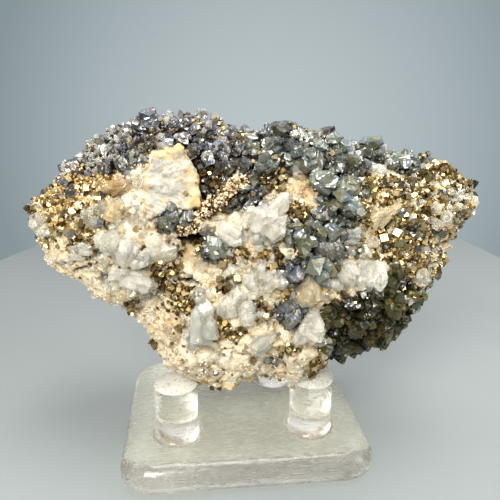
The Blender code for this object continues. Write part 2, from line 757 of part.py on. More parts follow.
def sheet_from(patch, thickness, tip, draw):
    """A closed sheet that follows a patch, sunk into the rock, with a crystal tip on each face."""
    sheet = patch.copy()
    normals = {vert: vert.normal.copy() for vert in sheet.verts}
    made = bmesh.ops.extrude_face_region(sheet, geom=sheet.faces[:], use_keep_orig=True)
    upper = [item for item in made["geom"] if isinstance(item, bmesh.types.BMVert)]
    tops = [item for item in made["geom"] if isinstance(item, bmesh.types.BMFace)]
    tops.sort(key=by_place)
    for vert in upper:
        near = min(normals, key=lambda low: (low.co - vert.co).length_squared)
        vert.co += normals[near] * thickness
    for vert, normal in normals.items():
        vert.co -= normal * SHEET_SUNK
    bmesh.ops.recalc_face_normals(sheet, faces=sheet.faces)
    for face in tops:
        height = tip * draw.uniform(TIP_LOWEST, 1.0)
        out = face.normal.copy()
        lean = (face.verts[0].co - face.calc_center_median()) * draw.uniform(0.0, TIP_LEAN)
        raised = bmesh.ops.poke(sheet, faces=[face])["verts"][0]
        raised.co += out * height + lean
    sheet.verts.sort(key=by_place)
    sheet.faces.sort(key=by_place)
    sheet.normal_update()
    return sheet


def scattered(patch, draw, spacing, tries):
    """Places and normals spread over a patch, none closer together than the spacing."""
    patch.faces.ensure_lookup_table()
    areas = [face.calc_area() for face in patch.faces]
    spots = []
    for face in draw.choices(patch.faces, weights=areas, k=tries):
        a, b = sorted((draw.random(), draw.random()))
        corners = [vert.co for vert in face.verts]
        place = corners[0] * a + corners[1] * (b - a) + corners[2] * (1 - b)
        if all((place - other).length > spacing for other, _ in spots):
            spots.append((place, face.normal.copy()))
    return spots


def grow_crust(name, stone, outline, wrap, singles, habit, look, taken, cutters, frame, material):
    """A crust: a thin sheet along the rock with crystals fused to it."""
    seed, spacing, small, large, thickness, tip = look
    draw = random.Random(seed)
    crystals = []
    own = []
    for u, v, size in singles:
        point, normal = stone.seat(u, v)
        place = point + normal * (thickness / 2 + size * SINGLE_RISE)
        turn = Matrix.Translation(place) @ random_turn(draw) @ Matrix.Scale(size, 4)
        crystals.append(placed(habit(draw), turn))
        own.append((place, size * CORNER_REACH))
    patch = crust_patch(stone, outline, wrap)
    for place, normal in scattered(patch, draw, spacing, CRUST_TRIES):
        size = draw.uniform(small, large)
        place = place + normal * (thickness + size * CRYSTAL_RISE)
        radius = size * CORNER_REACH
        if any((place - at).length < reach + radius + NEIGHBOUR_ROOM for at, reach in taken):
            continue
        if any((place - at).length < (reach + radius) * CRYSTAL_APART for at, reach in own):
            continue
        turn = Matrix.Translation(place) @ random_turn(draw) @ Matrix.Scale(size, 4)
        crystals.append(placed(habit(draw), turn))
        own.append((place, radius))
    cover(stone, patch)
    sheet = sheet_from(patch, thickness, tip, draw)
    patch.free()
    fuse(name, crystals, cutters, frame, material, joined([sheet], name))
    taken.extend(own)


def sphalerite_habit(draw):
    cut = draw.uniform(*TETRAHEDRON_CUTS)
    return cut_tetrahedron(cut) if draw.random() < TETRAHEDRON_CHANCE else twin_block()


def pyrite_habit(draw):
    return cube()


def grow_quartz(stone, cutters, frame, material):
    for name, rows in QUARTZ.items():
        shapes = []
        middle = Vector()
        for u, v, width, length, way, lying in rows:
            point, normal = stone.seat(u, v)
            sight = (stone.eye - point).normalized()
            side = Vector((1, 0, 0))
            up = sight.cross(side).normalized()
            if up.z < 0:
                up = -up
            way = math.radians(way)
            lying = math.radians(lying)
            across = side * math.sin(way) + up * math.cos(way)
            axis = sight * math.cos(lying) + across * math.sin(lying)
            centre = point + normal * width * (0.5 * math.sin(lying) - QUARTZ_SUNK)
            centre += axis * length * QUARTZ_RISE * math.cos(lying)
            turn = axis.to_track_quat("Z", "Y").to_matrix().to_4x4()
            turn = turn @ Matrix.Rotation(QUARTZ_TURN * len(shapes), 4, "Z")
            shapes.append(placed(quartz_crystal(width, length), Matrix.Translation(centre) @ turn))
            middle += point / len(rows)
        if len(rows) > 1:
            root = bmesh.new()
            spread = max((stone.seat(r[0], r[1])[0] - middle).length for r in rows)
            bmesh.ops.create_icosphere(root, subdivisions=1, radius=spread * ROOT_SHARE + ROOT_EXTRA)
            shapes.append(placed(root, Matrix.Translation(middle)))
        fuse(name, shapes, cutters, frame, material)


def grow_dark_groups(stone, taken, cutters, frame, material):
    draw = random.Random(DARK_GROUP_SEED)
    for name, rows in DARK_GROUPS.items():
        shapes = []
        for u, v, size in rows:
            point, normal = stone.seat(u, v)
            place = point + normal * size * DARK_GROUP_RISE
            turn = Matrix.Translation(place) @ random_turn(draw) @ Matrix.Scale(size, 4)
            shapes.append(placed(sphalerite_habit(draw), turn))
            taken.append((place, size * CORNER_REACH))
        fuse(name, shapes, cutters, frame, material)


def grow_pyrite_rim(stone, taken, cutters, frame, material):
    """A winding ridge of small crystals, each overlapping the next."""
    draw = random.Random(RIM_SEED)
    shapes = []
    for (u0, v0), (u1, v1) in zip(PYRITE_RIM, PYRITE_RIM[1:]):
        steps = max(1, round(math.hypot(u1 - u0, v1 - v0) / (RIM_GRAIN * RIM_STEP)))
        for step in range(steps):
            share = step / steps
            point, normal = stone.seat(u0 + (u1 - u0) * share, v0 + (v1 - v0) * share)
            size = RIM_GRAIN * draw.uniform(0.9, 1.15)
            place = point + normal * size * RIM_RISE
            turn = Matrix.Translation(place) @ random_turn(draw) @ Matrix.Scale(size, 4)
            shapes.append(placed(cube(), turn))
            taken.append((place, size * CORNER_REACH))
    fuse("pyrite_rim", shapes, cutters, frame, material)


def build_plate(stone, body_wider, frame, material):
    """The raised slab of white vein quartz, thick at its right edge, over the open fissure."""
    middle_u = sum(u for u, _ in PLATE_OUTLINE) / len(PLATE_OUTLINE)
    middle_v = sum(v for _, v in PLATE_OUTLINE) / len(PLATE_OUTLINE)
    centre, _ = stone.seat(middle_u, middle_v)
    fronts = [stone.seat(u, v)[0].y for u, v in PLATE_OUTLINE]
    level = min(sum(fronts) / len(fronts), centre.y) - PLATE_PROUD
    bm = bmesh.new()
    ring = []
    for u, v in PLATE_OUTLINE:
        share = (level - stone.eye.y) / -stone.eye.y
        at = stone.eye + (Vector((u, 0.0, v)) - stone.eye) * share
        ring.append(bm.verts.new(at))
    face = bm.faces.new(ring)
    if face.normal.y > 0:
        face.normal_flip()
    bm.normal_update()
    made = bmesh.ops.extrude_face_region(bm, geom=[face], use_keep_orig=True)
    low = [item for item in made["geom"] if isinstance(item, bmesh.types.BMVert)]
    bmesh.ops.translate(bm, vec=(0, PLATE_THICKNESS, 0), verts=low)
    bmesh.ops.recalc_face_normals(bm, faces=bm.faces)
    bmesh.ops.scale(bm, vec=(MM,) * 3, verts=bm.verts)
    mesh = mesh_from(bm, "quartz_plate")
    wider = add_guide("plate_wider", inflated(mesh, CLEARANCE), frame)
    plate = add_object("quartz_plate", mesh, frame)
    boolean(plate, body_wider, "DIFFERENCE")
    apply_modifiers(plate)
    largest_piece(plate.data)
    plate.data.materials.clear()
    plate.data.materials.append(material)
    return wider


def build_rock(body, frame, material):
    """The rock, cut flat where it sits on the three posts."""
    rock = add_object("rock", body, frame, material)
    for name, (x, y) in POST_PLACES.items():
        bm = bmesh.new()
        radius = POST_DIAMETER / 2 + GAP
        bmesh.ops.create_cone(bm, segments=POST_SIDES, radius1=radius, radius2=radius,
                              depth=SEAT_HEIGHT, cap_ends=True)
        place = (x, y, POST_TOP + GAP - SEAT_HEIGHT / 2)
        bmesh.ops.translate(bm, vec=place, verts=bm.verts)
        seat = add_guide("seat_over_" + name, mesh_from(bm, "seat_over_" + name))
        boolean(rock, seat, "DIFFERENCE")
    apply_modifiers(rock)
    largest_piece(rock.data)
    rock.data.materials.clear()
    rock.data.materials.append(material)


def main():
    clear_scene()
    materials = make_materials()
    build_stand(materials)
    frame = make_stone_frame()
    body = build_rock_body()
    stone = Stone(body)
    body_wider = add_guide("rock_wider", inflated(body, CLEARANCE), frame)
    plate_wider = build_plate(stone, body_wider, frame, materials["white_quartz_vein"])
    build_rock(body, frame, materials["cream_rock"])
    cutters = [body_wider, plate_wider]
    taken = []
    dark = materials["sphalerite"]
    gold = materials["pyrite"]
    grow_quartz(stone, cutters, frame, materials["milky_quartz"])
    grow_dark_groups(stone, taken, cutters, frame, dark)
    grow_pyrite_rim(stone, taken, cutters, frame, gold)
    for name, outline, wrap, singles, look in SPHALERITE_CRUSTS:
        grow_crust(name, stone, outline, wrap, singles, sphalerite_habit, look, taken, cutters,
                   frame, dark)
    for name, outline, wrap, look in PYRITE_CRUSTS:
        grow_crust(name, stone, outline, wrap, [], pyrite_habit, look, taken, cutters,
                   frame, gold)


main()
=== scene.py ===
"""Looks of the crystal specimen: broken rock, crystal crusts, quartz and a clear stand."""
import math
import random

import bmesh
import bpy
import numpy as np
from bpy.props import FloatProperty, FloatVectorProperty, IntProperty, PointerProperty
from mathutils import Euler, Matrix, Vector, noise
from mathutils.bvhtree import BVHTree


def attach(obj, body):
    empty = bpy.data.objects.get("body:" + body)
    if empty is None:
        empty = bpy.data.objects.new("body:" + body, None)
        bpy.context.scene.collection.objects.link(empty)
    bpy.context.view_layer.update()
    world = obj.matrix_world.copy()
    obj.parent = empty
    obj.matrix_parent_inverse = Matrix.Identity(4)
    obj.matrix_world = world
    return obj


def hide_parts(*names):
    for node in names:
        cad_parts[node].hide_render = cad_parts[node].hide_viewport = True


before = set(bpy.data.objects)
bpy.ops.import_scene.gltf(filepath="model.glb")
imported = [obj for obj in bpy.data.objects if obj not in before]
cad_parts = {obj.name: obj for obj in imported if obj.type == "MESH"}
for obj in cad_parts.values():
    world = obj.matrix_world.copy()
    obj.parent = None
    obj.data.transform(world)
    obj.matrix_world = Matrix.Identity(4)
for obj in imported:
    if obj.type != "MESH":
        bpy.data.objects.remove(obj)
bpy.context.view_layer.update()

bl_info = {
    "name": "Crystal Specimen",
    "version": (1, 0, 0),
    "blender": (4, 5, 0),
    "location": "View3D > Sidebar > Specimen",
    "description": "Dresses a packed mineral specimen and its stand",
    "category": "Add Mesh",
}

MM = 0.001

# Where the noise and each step's random draws start, so that every run gives the same shapes
NOISE_SEED = 1
SEEDS = {
    "shapes": 5, "ridge": 11, "lower_right": 14, "left_slope": 21, "right_end": 22, "rim": 23,
    "gold_specks": 24, "dark_specks": 27, "grains": 31, "dark_groups": 40, "quartz": 100,
    "small_quartz": 300, "frost": 301,
}

# The stone's frame: u to the right, depth into the stone, v up the face, all in mm
STONE_FOOT = (-1.8, -14.9, 26.0)
STONE_LEAN = math.radians(12)
STONE_TURN = math.radians(6.8)
STONE_TO_PART = np.array(Euler((-STONE_LEAN, 0.0, -STONE_TURN)).to_matrix())
# The face is laid out as seen from this point (u, depth, v)
SIGHT_POINT = np.array((1.9, -147.0, 51.5))
# Depth (mm) that the face ends at, and the depths that crusts wrap to round the rim
FACE_DEPTH = 4.0
RIDGE_DEPTH = 9.0
CRUST_DEPTH = 6.0
SPECK_DEPTH = 3.0
# Ragged edges of the zones: size and height of the wobble in mm, and where its noise starts
RAGGED = (2.4, 1.6, 0.5)

# Stand, in mm as it was built
BASE_SIZE = (75.0, 63.0, 9.0)
BASE_CORNER_RADIUS = 10.0
BASE_EDGE_RADIUS = 3.2
BASE_UPPER_EDGE = 5.4
POST_RADIUS = 6.35
POST_FOOT = 9.3
POST_TOP = 26.0
POST_FLARE = 1.8
POST_FLARE_HEIGHT = 2.6
POST_PLACES = {
    "stand_post_left": (-21.2, -14.5),
    "stand_post_right": (19.4, -15.0),
    "stand_post_back": (12.8, 14.0),
}

# Zones of the face (u, v in mm). They run past the rim where a crust wraps over it
ZONES = {
    "ridge_left": [
        (-56, 60), (-50, 66), (-45, 72), (-38, 79), (-29, 84), (-12, 84), (-2, 80), (5, 78),
        (4, 64), (1, 61), (-2, 62), (-4, 58), (-7, 54), (-11, 50), (-13, 50), (-14, 62),
        (-16, 66), (-19, 69.5), (-24, 68), (-27, 66), (-30, 62.5), (-35, 61.5), (-42, 60.5),
        (-48, 60.5),
    ],
    "ridge_right": [
        (1, 79), (16, 83), (30, 79), (42, 75), (49, 69), (51, 63), (48, 60.5), (44, 62),
        (40, 64), (35, 62.4), (32, 62), (33, 57), (33, 52), (30, 50), (26, 50), (23, 52),
        (21, 57), (19, 60), (16, 62), (12, 61.5), (7.5, 57), (5, 52.5), (1.5, 50), (-3, 51),
        (-4, 56), (-1.5, 60), (0, 65),
    ],
    "middle_dark": [
        (15, 49), (21, 51), (29, 50), (31, 45), (30, 41), (28, 36), (26, 30), (22, 31),
        (20, 36), (19, 41), (15, 39), (13, 43),
    ],
    "lower_right": [
        (38, 29), (44, 33), (50, 30), (54, 26), (53, 19), (48, 12), (42, 8), (36, 6),
        (29, 5), (24, 9), (22, 17), (23, 22), (26, 23.5), (30, 22.4), (32, 25), (34, 26),
    ],
    "left_slope": [
        (-68, 52), (-53, 61), (-42, 61), (-38, 60.5), (-36, 57), (-35.4, 52), (-36, 48.6),
        (-39, 46), (-43, 43), (-49, 41), (-53, 42), (-57, 40), (-66, 43),
    ],
    "right_end": [
        (31, 58), (36, 61.5), (42, 60), (48, 60.6), (51, 64), (48, 70), (60, 71), (74, 60),
        (74, 52), (64, 43), (60, 36), (56, 30), (52, 28), (48, 31), (44, 35), (41, 37),
        (37, 39), (32, 42), (30, 47), (33, 52),
    ],
    "hollow": [(-17.2, 44.8), (-10.4, 43.6), (-9.8, 41.0), (-13, 40.6), (-16.4, 41.8)],
    "fissure": [(-14.4, 65), (-12, 63.4), (-10.6, 57), (-11, 51), (-13.4, 49.6), (-14, 56)],
    "plate": [
        (-28.6, 62), (-26, 66), (-23, 68), (-19, 69.6), (-16, 65.6), (-13.4, 62), (-12.6, 57),
        (-12.6, 51), (-14, 48), (-18, 47), (-23, 45.4), (-27, 46.4), (-29.4, 49), (-29, 57),
    ],
}

# The bare flank at the lower left, which few specks grow on (u, v in mm)
QUIET_FLANK = [
    (-66, 42), (-52, 38), (-42, 35.5), (-36, 26), (-27, 19), (-21, 11), (-18, 3), (-12, -6),
    (-40, -8), (-64, 20),
]

# Spots of the face: u, v, half width, half height (mm) and strength.
# The rock is smoother in the quiet spots
QUIET_SPOTS = [(-50, 28, 17, 16, 1.0), (-32, 10, 9, 14, 1.0), (-2, 1, 26, 9, 0.6)]
STAINS = [
    (-46.5, 58.6, 6.5, 3.6, 1.0), (-50, 51, 4, 3, 0.7), (-42, 53, 3, 3, 0.7),
    (-36, 58, 6, 2.4, 0.6), (-18, 39.4, 6, 3.4, 1.0), (16.5, 56.5, 4.6, 5.0, 0.75),
    (28.5, 22.5, 5.0, 5.0, 0.6), (-61.5, 42.6, 2.6, 2.6, 0.9),
    (-52, 35.5, 7, 4, 0.35), (-20.5, 16, 3.2, 3, 0.8), (10, 2, 6, 2.6, 0.4),
    (58.5, 44.5, 5, 3, 0.7), (-53, 56, 6, 4, 0.5), (24.5, 29.5, 2.4, 3.2, 0.9),
    (-22, 44.0, 3.0, 2.0, 0.5), (35.5, 51.0, 3.0, 2.2, 0.6),
]
MILKY_SPOTS = [
    (-37, 40.5, 6, 5.6, 1.0), (-31.5, 29.5, 8, 6.2, 1.0), (-23.5, 39.5, 4.5, 3.6, 0.9),
    (-12.8, 16, 5, 8, 0.9), (7, 47, 6.5, 8, 0.9), (5.5, 25, 7, 8, 0.8), (19, 27.5, 3.5, 5, 0.8),
    (18.8, 16.5, 4.5, 5.5, 0.9), (19.5, 2.5, 4.5, 3.2, 0.8), (-39, 52, 5, 4, 0.6),
    (-4, 35, 6, 5, 0.6), (-45.5, 48, 4, 4, 0.6), (33, 32, 7, 5, 0.7), (-32, 55, 4.5, 6, 1.0),
    (-32, 47, 4, 3, 0.9), (60, 54, 7, 4, 0.5), (-8, 7, 5, 3, 0.7), (6, 5, 4, 3, 0.6),
]
GOLD_SPOTS = [
    (-22.6, 31, 4.2, 4.4, 1.0), (-16, 23.4, 3.8, 3.4, 1.0), (-3.4, 28.5, 2.4, 1.9, 1.0),
    (-1.7, 37.2, 3.2, 1.9, 1.0), (22.0, 4.2, 2.6, 2.0, 1.0), (-30.7, 36.6, 1.6, 2.2, 0.9),
    (-46, 39.4, 4.4, 2.2, 0.8), (-32.5, 22, 4.8, 4.2, 0.38), (-6.6, 15.3, 3.0, 2.2, 1.0),
    (-1.2, 14.5, 2.2, 2.2, 0.9), (-9, 2.5, 7, 3.4, 0.2), (16.6, 49, 3.4, 3.4, 1.0),
    (8.4, 36.3, 2.6, 2.2, 1.0), (7.8, 58.6, 3.4, 2.2, 0.9), (5.8, 22.4, 2.6, 3.2, 0.8),
    (12.3, 27.5, 1.6, 2.2, 1.0), (-8.4, 60, 3, 4, 0.6), (-22, 72, 7, 3, 0.35),
    (-13, 76, 6, 3, 0.7), (-20, 38.6, 4, 2.6, 0.5), (14, 10, 5, 3, 0.45),
    (55, 64, 4.4, 2.6, 1.0), (-12.6, 40.0, 2.4, 1.6, 0.9), (-28, 10, 5, 6, 0.35),
]
DARK_SPOTS = [
    (-20, 47.6, 5.0, 1.8, 1.0), (-13.7, 43.6, 3.0, 2.2, 1.0), (-9.2, 38.8, 2.6, 2.2, 0.9),
    (-40, 30.4, 2.0, 2.0, 0.9), (14.6, 33.2, 2.6, 2.6, 0.9), (14.2, 21.6, 2.6, 2.4, 0.9),
    (-5.7, 15.4, 1.1, 0.9, 1.0), (27.6, 51.5, 3.4, 1.6, 1.0), (33.4, 38.5, 2.4, 1.6, 1.0),
    (8.8, 5.2, 2.4, 1.8, 0.9), (35.2, 28.0, 2.0, 3.0, 0.8), (24.8, 12.0, 2.0, 3.0, 0.7),
    (-58.5, 42.2, 3.0, 1.2, 0.7), (20.5, 21.5, 2.4, 1.6, 0.6), (-11, 2.2, 7, 2.8, 0.30),
    (-7.6, 57, 3, 5.6, 0.9), (-26, 24, 3, 3, 0.2), (3, 1.5, 5, 2, 0.2), (-22, 13, 3, 4, 0.15),
    (-49, 37.6, 2, 1.4, 0.3), (49, 56.5, 3, 2.4, 0.9), (62, 56, 4, 4, 0.5),
]
# Bare pale rock, where the crusts at both ends are worn off
BARE_SPOTS = [
    (64, 53, 6.5, 4.6, 0.9), (61, 46.6, 6.5, 2.8, 1.0), (57.5, 40, 3.0, 4, 1.0),
    (54, 56, 4, 3, 0.6), (-60, 43, 3, 3, 0.7), (41, 52.5, 4, 3, 0.6),
    (-32, 59, 5.5, 4, 1.0), (-31, 52, 3, 4, 0.8),
]
# Whitish crystals among the dark ones
FROST_SPOTS = [
    (-37, 66.5, 7.5, 3.6, 1.0), (-47, 62.5, 4, 2.4, 0.8), (-24, 73, 3, 2, 0.2),
    (-13, 73, 2.0, 1.6, 0.3), (-6, 68, 1.6, 1.6, 0.3), (49, 57, 5, 5, 0.5),
    (61, 54, 7, 4.5, 0.8), (53, 34, 4, 6, 0.4), (45, 48, 5, 4, 0.3), (54, 46, 4, 3, 0.5),
]

# Thin open cracks: the path on the face, half width and depth in mm
CRACKS = [
    ([(-54, 33.6), (-48.5, 35.2), (-45.4, 35.6), (-42, 37.4)], 0.45, 1.3),
    ([(-49.4, 31.8), (-45, 33.6), (-41.6, 34.6)], 0.35, 0.9),
    ([(-18.8, 29.6), (-15.4, 29.8), (-12.4, 28.2)], 0.4, 1.4),
    ([(-14.4, 64), (-12.8, 60), (-12.2, 54), (-13.2, 49.6)], 1.3, 3.2),
    ([(-17, 43.8), (-14.2, 43.4), (-11.2, 42.6)], 1.7, 4.0),
]
# Middle of the pale ridge that runs round the right side of the plate
RIM_PATH = [
    (-4.7, 66.4), (-2.9, 63.6), (-3.2, 61.2), (-2.4, 58.3), (-4.7, 55.7), (-6.5, 53.4),
    (-8.8, 51.4), (-10.8, 48.8), (-14.0, 47.0), (-17.4, 45.9), (-21.2, 45.6),
]

# Pyrite cubes that stand out: u, v and size in mm. Past CUBE_SIDE on either side they are part
# of the crusts there
CUBE_SIDE = 30
GOLD_CUBES = [
    (-50.3, 58.1, 2.4), (-35.9, 51.4, 2.0), (-45.0, 55.6, 1.8), (-34.0, 48.8, 1.6),
    (-49.2, 52.8, 2.2), (-52.3, 49.1, 2.0), (-48.9, 49.1, 2.0), (-46.3, 45.9, 2.0),
    (3.3, 34.3, 1.5), (8.5, 34.0, 1.9), (12.3, 26.5, 2.1), (-17.0, 17.3, 1.8),
    (-18.4, 15.5, 1.9), (-3.3, 28.7, 2.2), (-2.1, 37.8, 1.8), (44.3, 56.8, 2.1),
    (40.7, 43.3, 2.5), (44.4, 44.8, 2.3), (32.1, 50.3, 1.7), (49.5, 47.6, 1.5),
    (44.3, 35.7, 1.7), (49.9, 42.0, 1.7), (10.3, 59.4, 1.7), (36.8, 57.8, 2.0),
    (47.2, 51.2, 1.6), (53.0, 52.4, 1.6), (-54.6, 52.0, 1.8), (-40.8, 55.4, 1.7),
    (-31.6, 36.6, 1.7), (-24.0, 31.6, 1.6), (-15.2, 24.6, 1.6), (13.8, 9.8, 1.6),
    (-7.6, 14.4, 1.7), (22.4, 4.4, 1.7), (-10.2, 76.4, 1.7), (-16.6, 77.0, 1.6),
]
# Sphalerite crystals that stand out: u, v, size (mm) and tone, 0 dark to 1 pale
# The pale tones partly paint highlights on the crystals that catch the light
RIDGE_CRYSTALS = [
    (-10.2, 64.6, 4.2, 0.55), (-14.4, 71.8, 4.6, 0.7), (-6.5, 68.6, 4.4, 0.9),
    (-3.0, 73.0, 4.0, 0.6), (-14.2, 66.6, 3.6, 0.3), (-28.2, 75.6, 4.0, 0.5),
    (-39.5, 66.0, 4.6, 0.75), (-34.0, 68.5, 4.4, 0.6), (-20.0, 73.5, 3.6, 0.4),
    (-46.0, 63.2, 4.4, 0.35), (-43.0, 67.0, 4.0, 0.8), (-37.0, 71.4, 3.8, 0.65),
    (17.5, 69.8, 5.4, 0.85), (19.3, 64.4, 6.6, 0.6), (6.8, 62.4, 5.6, 0.45),
    (12.8, 63.6, 4.2, 0.3), (27.9, 65.4, 6.4, 0.5), (22.7, 58.2, 6.6, 0.7),
    (28.0, 55.8, 6.2, 0.6), (29.8, 52.6, 5.4, 0.8), (36.5, 66.4, 5.0, 0.5),
    (45.8, 63.6, 5.2, 0.75), (2.4, 67.0, 4.6, 0.35), (-0.6, 71.0, 4.2, 0.5),
    (10.6, 72.4, 4.6, 0.7), (33.0, 62.6, 4.2, 0.3), (14.6, 66.0, 4.0, 0.4),
    (24.4, 69.0, 4.6, 0.65), (8.6, 67.6, 4.6, 0.55), (40.6, 66.6, 4.0, 0.45),
]
LOWER_RIGHT_CRYSTALS = [
    (48.1, 26.6, 5.0, 1.0), (43.0, 23.6, 6.0, 0.5), (37.6, 14.0, 5.0, 0.4),
    (29.4, 10.6, 4.8, 0.3), (36.2, 23.6, 5.4, 0.15), (33.0, 17.0, 5.4, 0.25),
    (42.0, 29.0, 5.4, 0.35), (40.6, 18.0, 6.0, 0.2), (47.0, 19.4, 5.2, 0.3),
    (25.4, 12.6, 4.4, 0.4), (32.0, 7.6, 4.0, 0.35), (45.0, 13.6, 4.4, 0.4),
    (25.0, 20.6, 4.6, 0.3), (50.4, 23.0, 4.0, 0.45),
]
DARK_GROUPS = {
    "sphalerite_middle": [
        (20.4, 46.1, 5.0, 0.5), (16.2, 43.4, 4.4, 0.75), (17.9, 40.4, 4.6, 0.9),
        (25.3, 45.3, 4.8, 0.5), (21.6, 41.8, 4.4, 0.4), (25.0, 40.6, 4.8, 0.6),
        (22.8, 34.8, 7.4, 0.75), (26.8, 38.0, 4.2, 0.45), (28.0, 43.4, 4.0, 0.35),
        (23.4, 49.0, 4.0, 0.3), (13.6, 46.0, 3.0, 0.5), (23.4, 39.0, 5.4, 0.55),
    ],
    "sphalerite_under_plate": [
        (-22.8, 46.9, 3.8, 0.5), (-19.9, 48.4, 4.0, 0.45), (-16.4, 48.4, 3.8, 0.3),
        (-21.4, 45.6, 2.8, 0.3), (-18.0, 46.6, 2.8, 0.25),
    ],
    "sphalerite_hollow": [
        (-10.3, 38.7, 3.8, 0.6), (-7.5, 39.9, 5.0, 0.85), (-8.4, 37.4, 3.2, 0.4),
    ],
    "sphalerite_spotted": [(14.6, 32.8, 5.0, 0.55), (12.6, 32.0, 2.8, 0.4)],
    "sphalerite_lower": [(14.4, 20.2, 5.4, 0.35), (12.0, 21.6, 3.0, 0.25)],
}

# Quartz: group, tint, then a row a crystal of u, v, width, length (mm), way on the face (degrees
# clockwise from up) and how far it lies over from the line of sight (degrees)
QUARTZ = {
    "quartz_left_tip": ("milky", [
        (-58.6, 46.2, 7.4, 8.4, -20, 35), (-57.4, 43.6, 4.0, 6.0, -130, 60),
    ]),
    "quartz_grey_slope": ("grey", [
        (-43.7, 47.8, 6.0, 7.4, 20, 40), (-40.6, 50.6, 3.8, 5.4, -30, 55),
    ]),
    "quartz_cream_slope": ("cream", [(-36.6, 49.9, 6.6, 8.0, 10, 50)]),
    "quartz_brown_band": ("brown", [
        (-38.2, 56.4, 4.4, 8.0, -75, 78), (-34.6, 56.6, 4.6, 8.0, 80, 78),
    ]),
    "quartz_pale_low": ("milky", [
        (-47.4, 38.2, 5.0, 7.4, -70, 62), (-44.4, 38.8, 4.6, 6.8, 70, 60),
    ]),
    "quartz_milky_left": ("milky", [
        (-37.6, 40.4, 7.6, 9.6, -35, 45), (-33.0, 38.0, 7.4, 10.6, 15, 55),
        (-35.0, 32.4, 7.4, 9.6, -120, 50), (-30.6, 30.0, 7.6, 12.0, 110, 60),
        (-30.0, 35.4, 5.6, 8.0, 60, 45),
    ]),
    "quartz_below_plate": ("milky", [
        (-25.6, 39.6, 7.2, 9.4, -30, 35), (-22.4, 38.0, 6.0, 8.8, 60, 50),
    ]),
    "quartz_centre": ("milky", [
        (2.0, 29.6, 5.4, 7.8, -40, 45), (7.6, 30.4, 6.8, 9.0, 30, 40),
        (5.0, 33.6, 4.8, 7.0, 0, 60),
    ]),
    "quartz_centre_low": ("milky", [
        (-4.0, 22.6, 5.8, 8.8, -20, 50), (1.4, 21.0, 6.8, 9.6, 15, 40),
        (-1.2, 25.4, 4.6, 6.6, 5, 60),
    ]),
    "quartz_tall_grey": ("grey", [
        (-11.4, 18.8, 7.4, 16.0, 5, 78), (-13.4, 13.4, 6.4, 9.4, -150, 66),
        (-12.6, 24.6, 5.0, 8.0, -20, 55),
    ]),
    "quartz_fan": ("clear", [
        (9.4, 51.2, 5.2, 13.4, 38, 78), (5.0, 48.0, 7.4, 10.4, 30, 62),
        (9.4, 46.2, 7.2, 10.4, 48, 62), (4.6, 44.4, 6.6, 8.6, 20, 50),
        (7.4, 47.6, 6.4, 11.0, 35, 70),
    ]),
    "quartz_fan_left": ("milky", [
        (-4.8, 45.0, 5.8, 9.4, -60, 74), (-4.0, 41.8, 5.4, 8.4, -110, 72),
    ]),
    "quartz_knob": ("clear", [(22.2, 50.0, 5.0, 7.0, 130, 55)]),
    "quartz_greyish": ("grey", [(30.2, 43.4, 5.4, 8.0, -80, 66), (33.2, 44.6, 3.6, 5.0, 40, 50)]),
    "quartz_cream_point": ("cream", [
        (19.2, 28.0, 7.2, 10.6, 4, 62), (18.2, 25.0, 5.4, 6.6, -160, 50),
    ]),
    "quartz_right_pair": ("clear", [
        (31.4, 32.8, 7.6, 9.2, -30, 35), (38.2, 31.6, 7.8, 11.0, 163, 58),
        (34.9, 31.0, 5.0, 7.0, 10, 45), (26.6, 29.8, 4.6, 6.2, -70, 62),
    ]),
    "quartz_round": ("clear", [(36.9, 41.4, 5.2, 6.6, 20, 30), (35.6, 38.8, 3.6, 5.0, 150, 50)]),
    "quartz_big_clear": ("clear", [
        (20.6, 17.0, 7.6, 11.6, 160, 66), (17.4, 14.6, 5.8, 8.6, -140, 60),
        (23.4, 12.8, 5.0, 8.2, 120, 60),
    ]),
    "quartz_slanted": ("grey", [(6.4, 12.4, 5.4, 10.8, 55, 80)]),
    "quartz_right_hexagon": ("clear", [
        (37.8, 61.4, 5.6, 7.4, 80, 55), (32.0, 56.8, 2.8, 6.0, 5, 74),
    ]),
    "quartz_right_prism": ("cream", [
        (41.2, 50.0, 4.0, 11.8, 57, 80), (37.6, 46.6, 3.2, 6.0, 30, 60),
    ]),
    "quartz_far_right": ("milky", [
        (58.0, 49.2, 4.2, 6.4, 20, 50), (55.4, 47.6, 3.0, 5.0, -40, 50),
    ]),
    "quartz_low_right": ("clear", [(51.6, 32.2, 5.2, 7.2, 30, 45)]),
}
# How many times as tall as wide the modelled crystals are
QUARTZ_HEIGHTS = (1.0, 1.3, 1.7, 2.3)
# The rows give the groups' reach, of which the crystals' own size is this share
QUARTZ_SHARE = 0.80
QUARTZ_TINTS = {"milky": 0.5, "clear": 0.75, "grey": 1.0, "cream": 0.25, "brown": 0.0}
# Smaller crystals grown beside each of them
QUARTZ_BESIDE = 4

# Layers of small crystals, large ones first: places tried, least and most size (in the usual
# grain, for quartz in mm), how far apart and how far out they sit (in their own size)
RIDGE_LAYERS = [
    (3000, 1.4, 2.3, 0.80, 0.45), (3500, 0.8, 1.3, 0.80, 0.50), (4000, 0.35, 0.7, 1.0, 0.7),
]
LOWER_RIGHT_LAYERS = [
    (900, 1.4, 2.3, 0.82, 0.35), (1500, 0.7, 1.3, 0.75, 0.5), (2500, 0.35, 0.7, 0.9, 0.8),
]
GROUP_LAYERS = [(500, 0.6, 1.3, 0.8, 0.4), (700, 0.3, 0.6, 0.95, 0.6)]
QUARTZ_LAYERS = [
    (260, 2.4, 4.4, 0.95, 0.12), (800, 1.3, 2.4, 0.85, 0.2), (1500, 0.7, 1.3, 0.85, 0.3),
]
GOLD_LAYERS = [
    (1500, 1.2, 2.1, 1.0, 0.30), (4000, 0.7, 1.3, 0.85, 0.4), (4000, 0.4, 0.7, 0.9, 0.6),
]
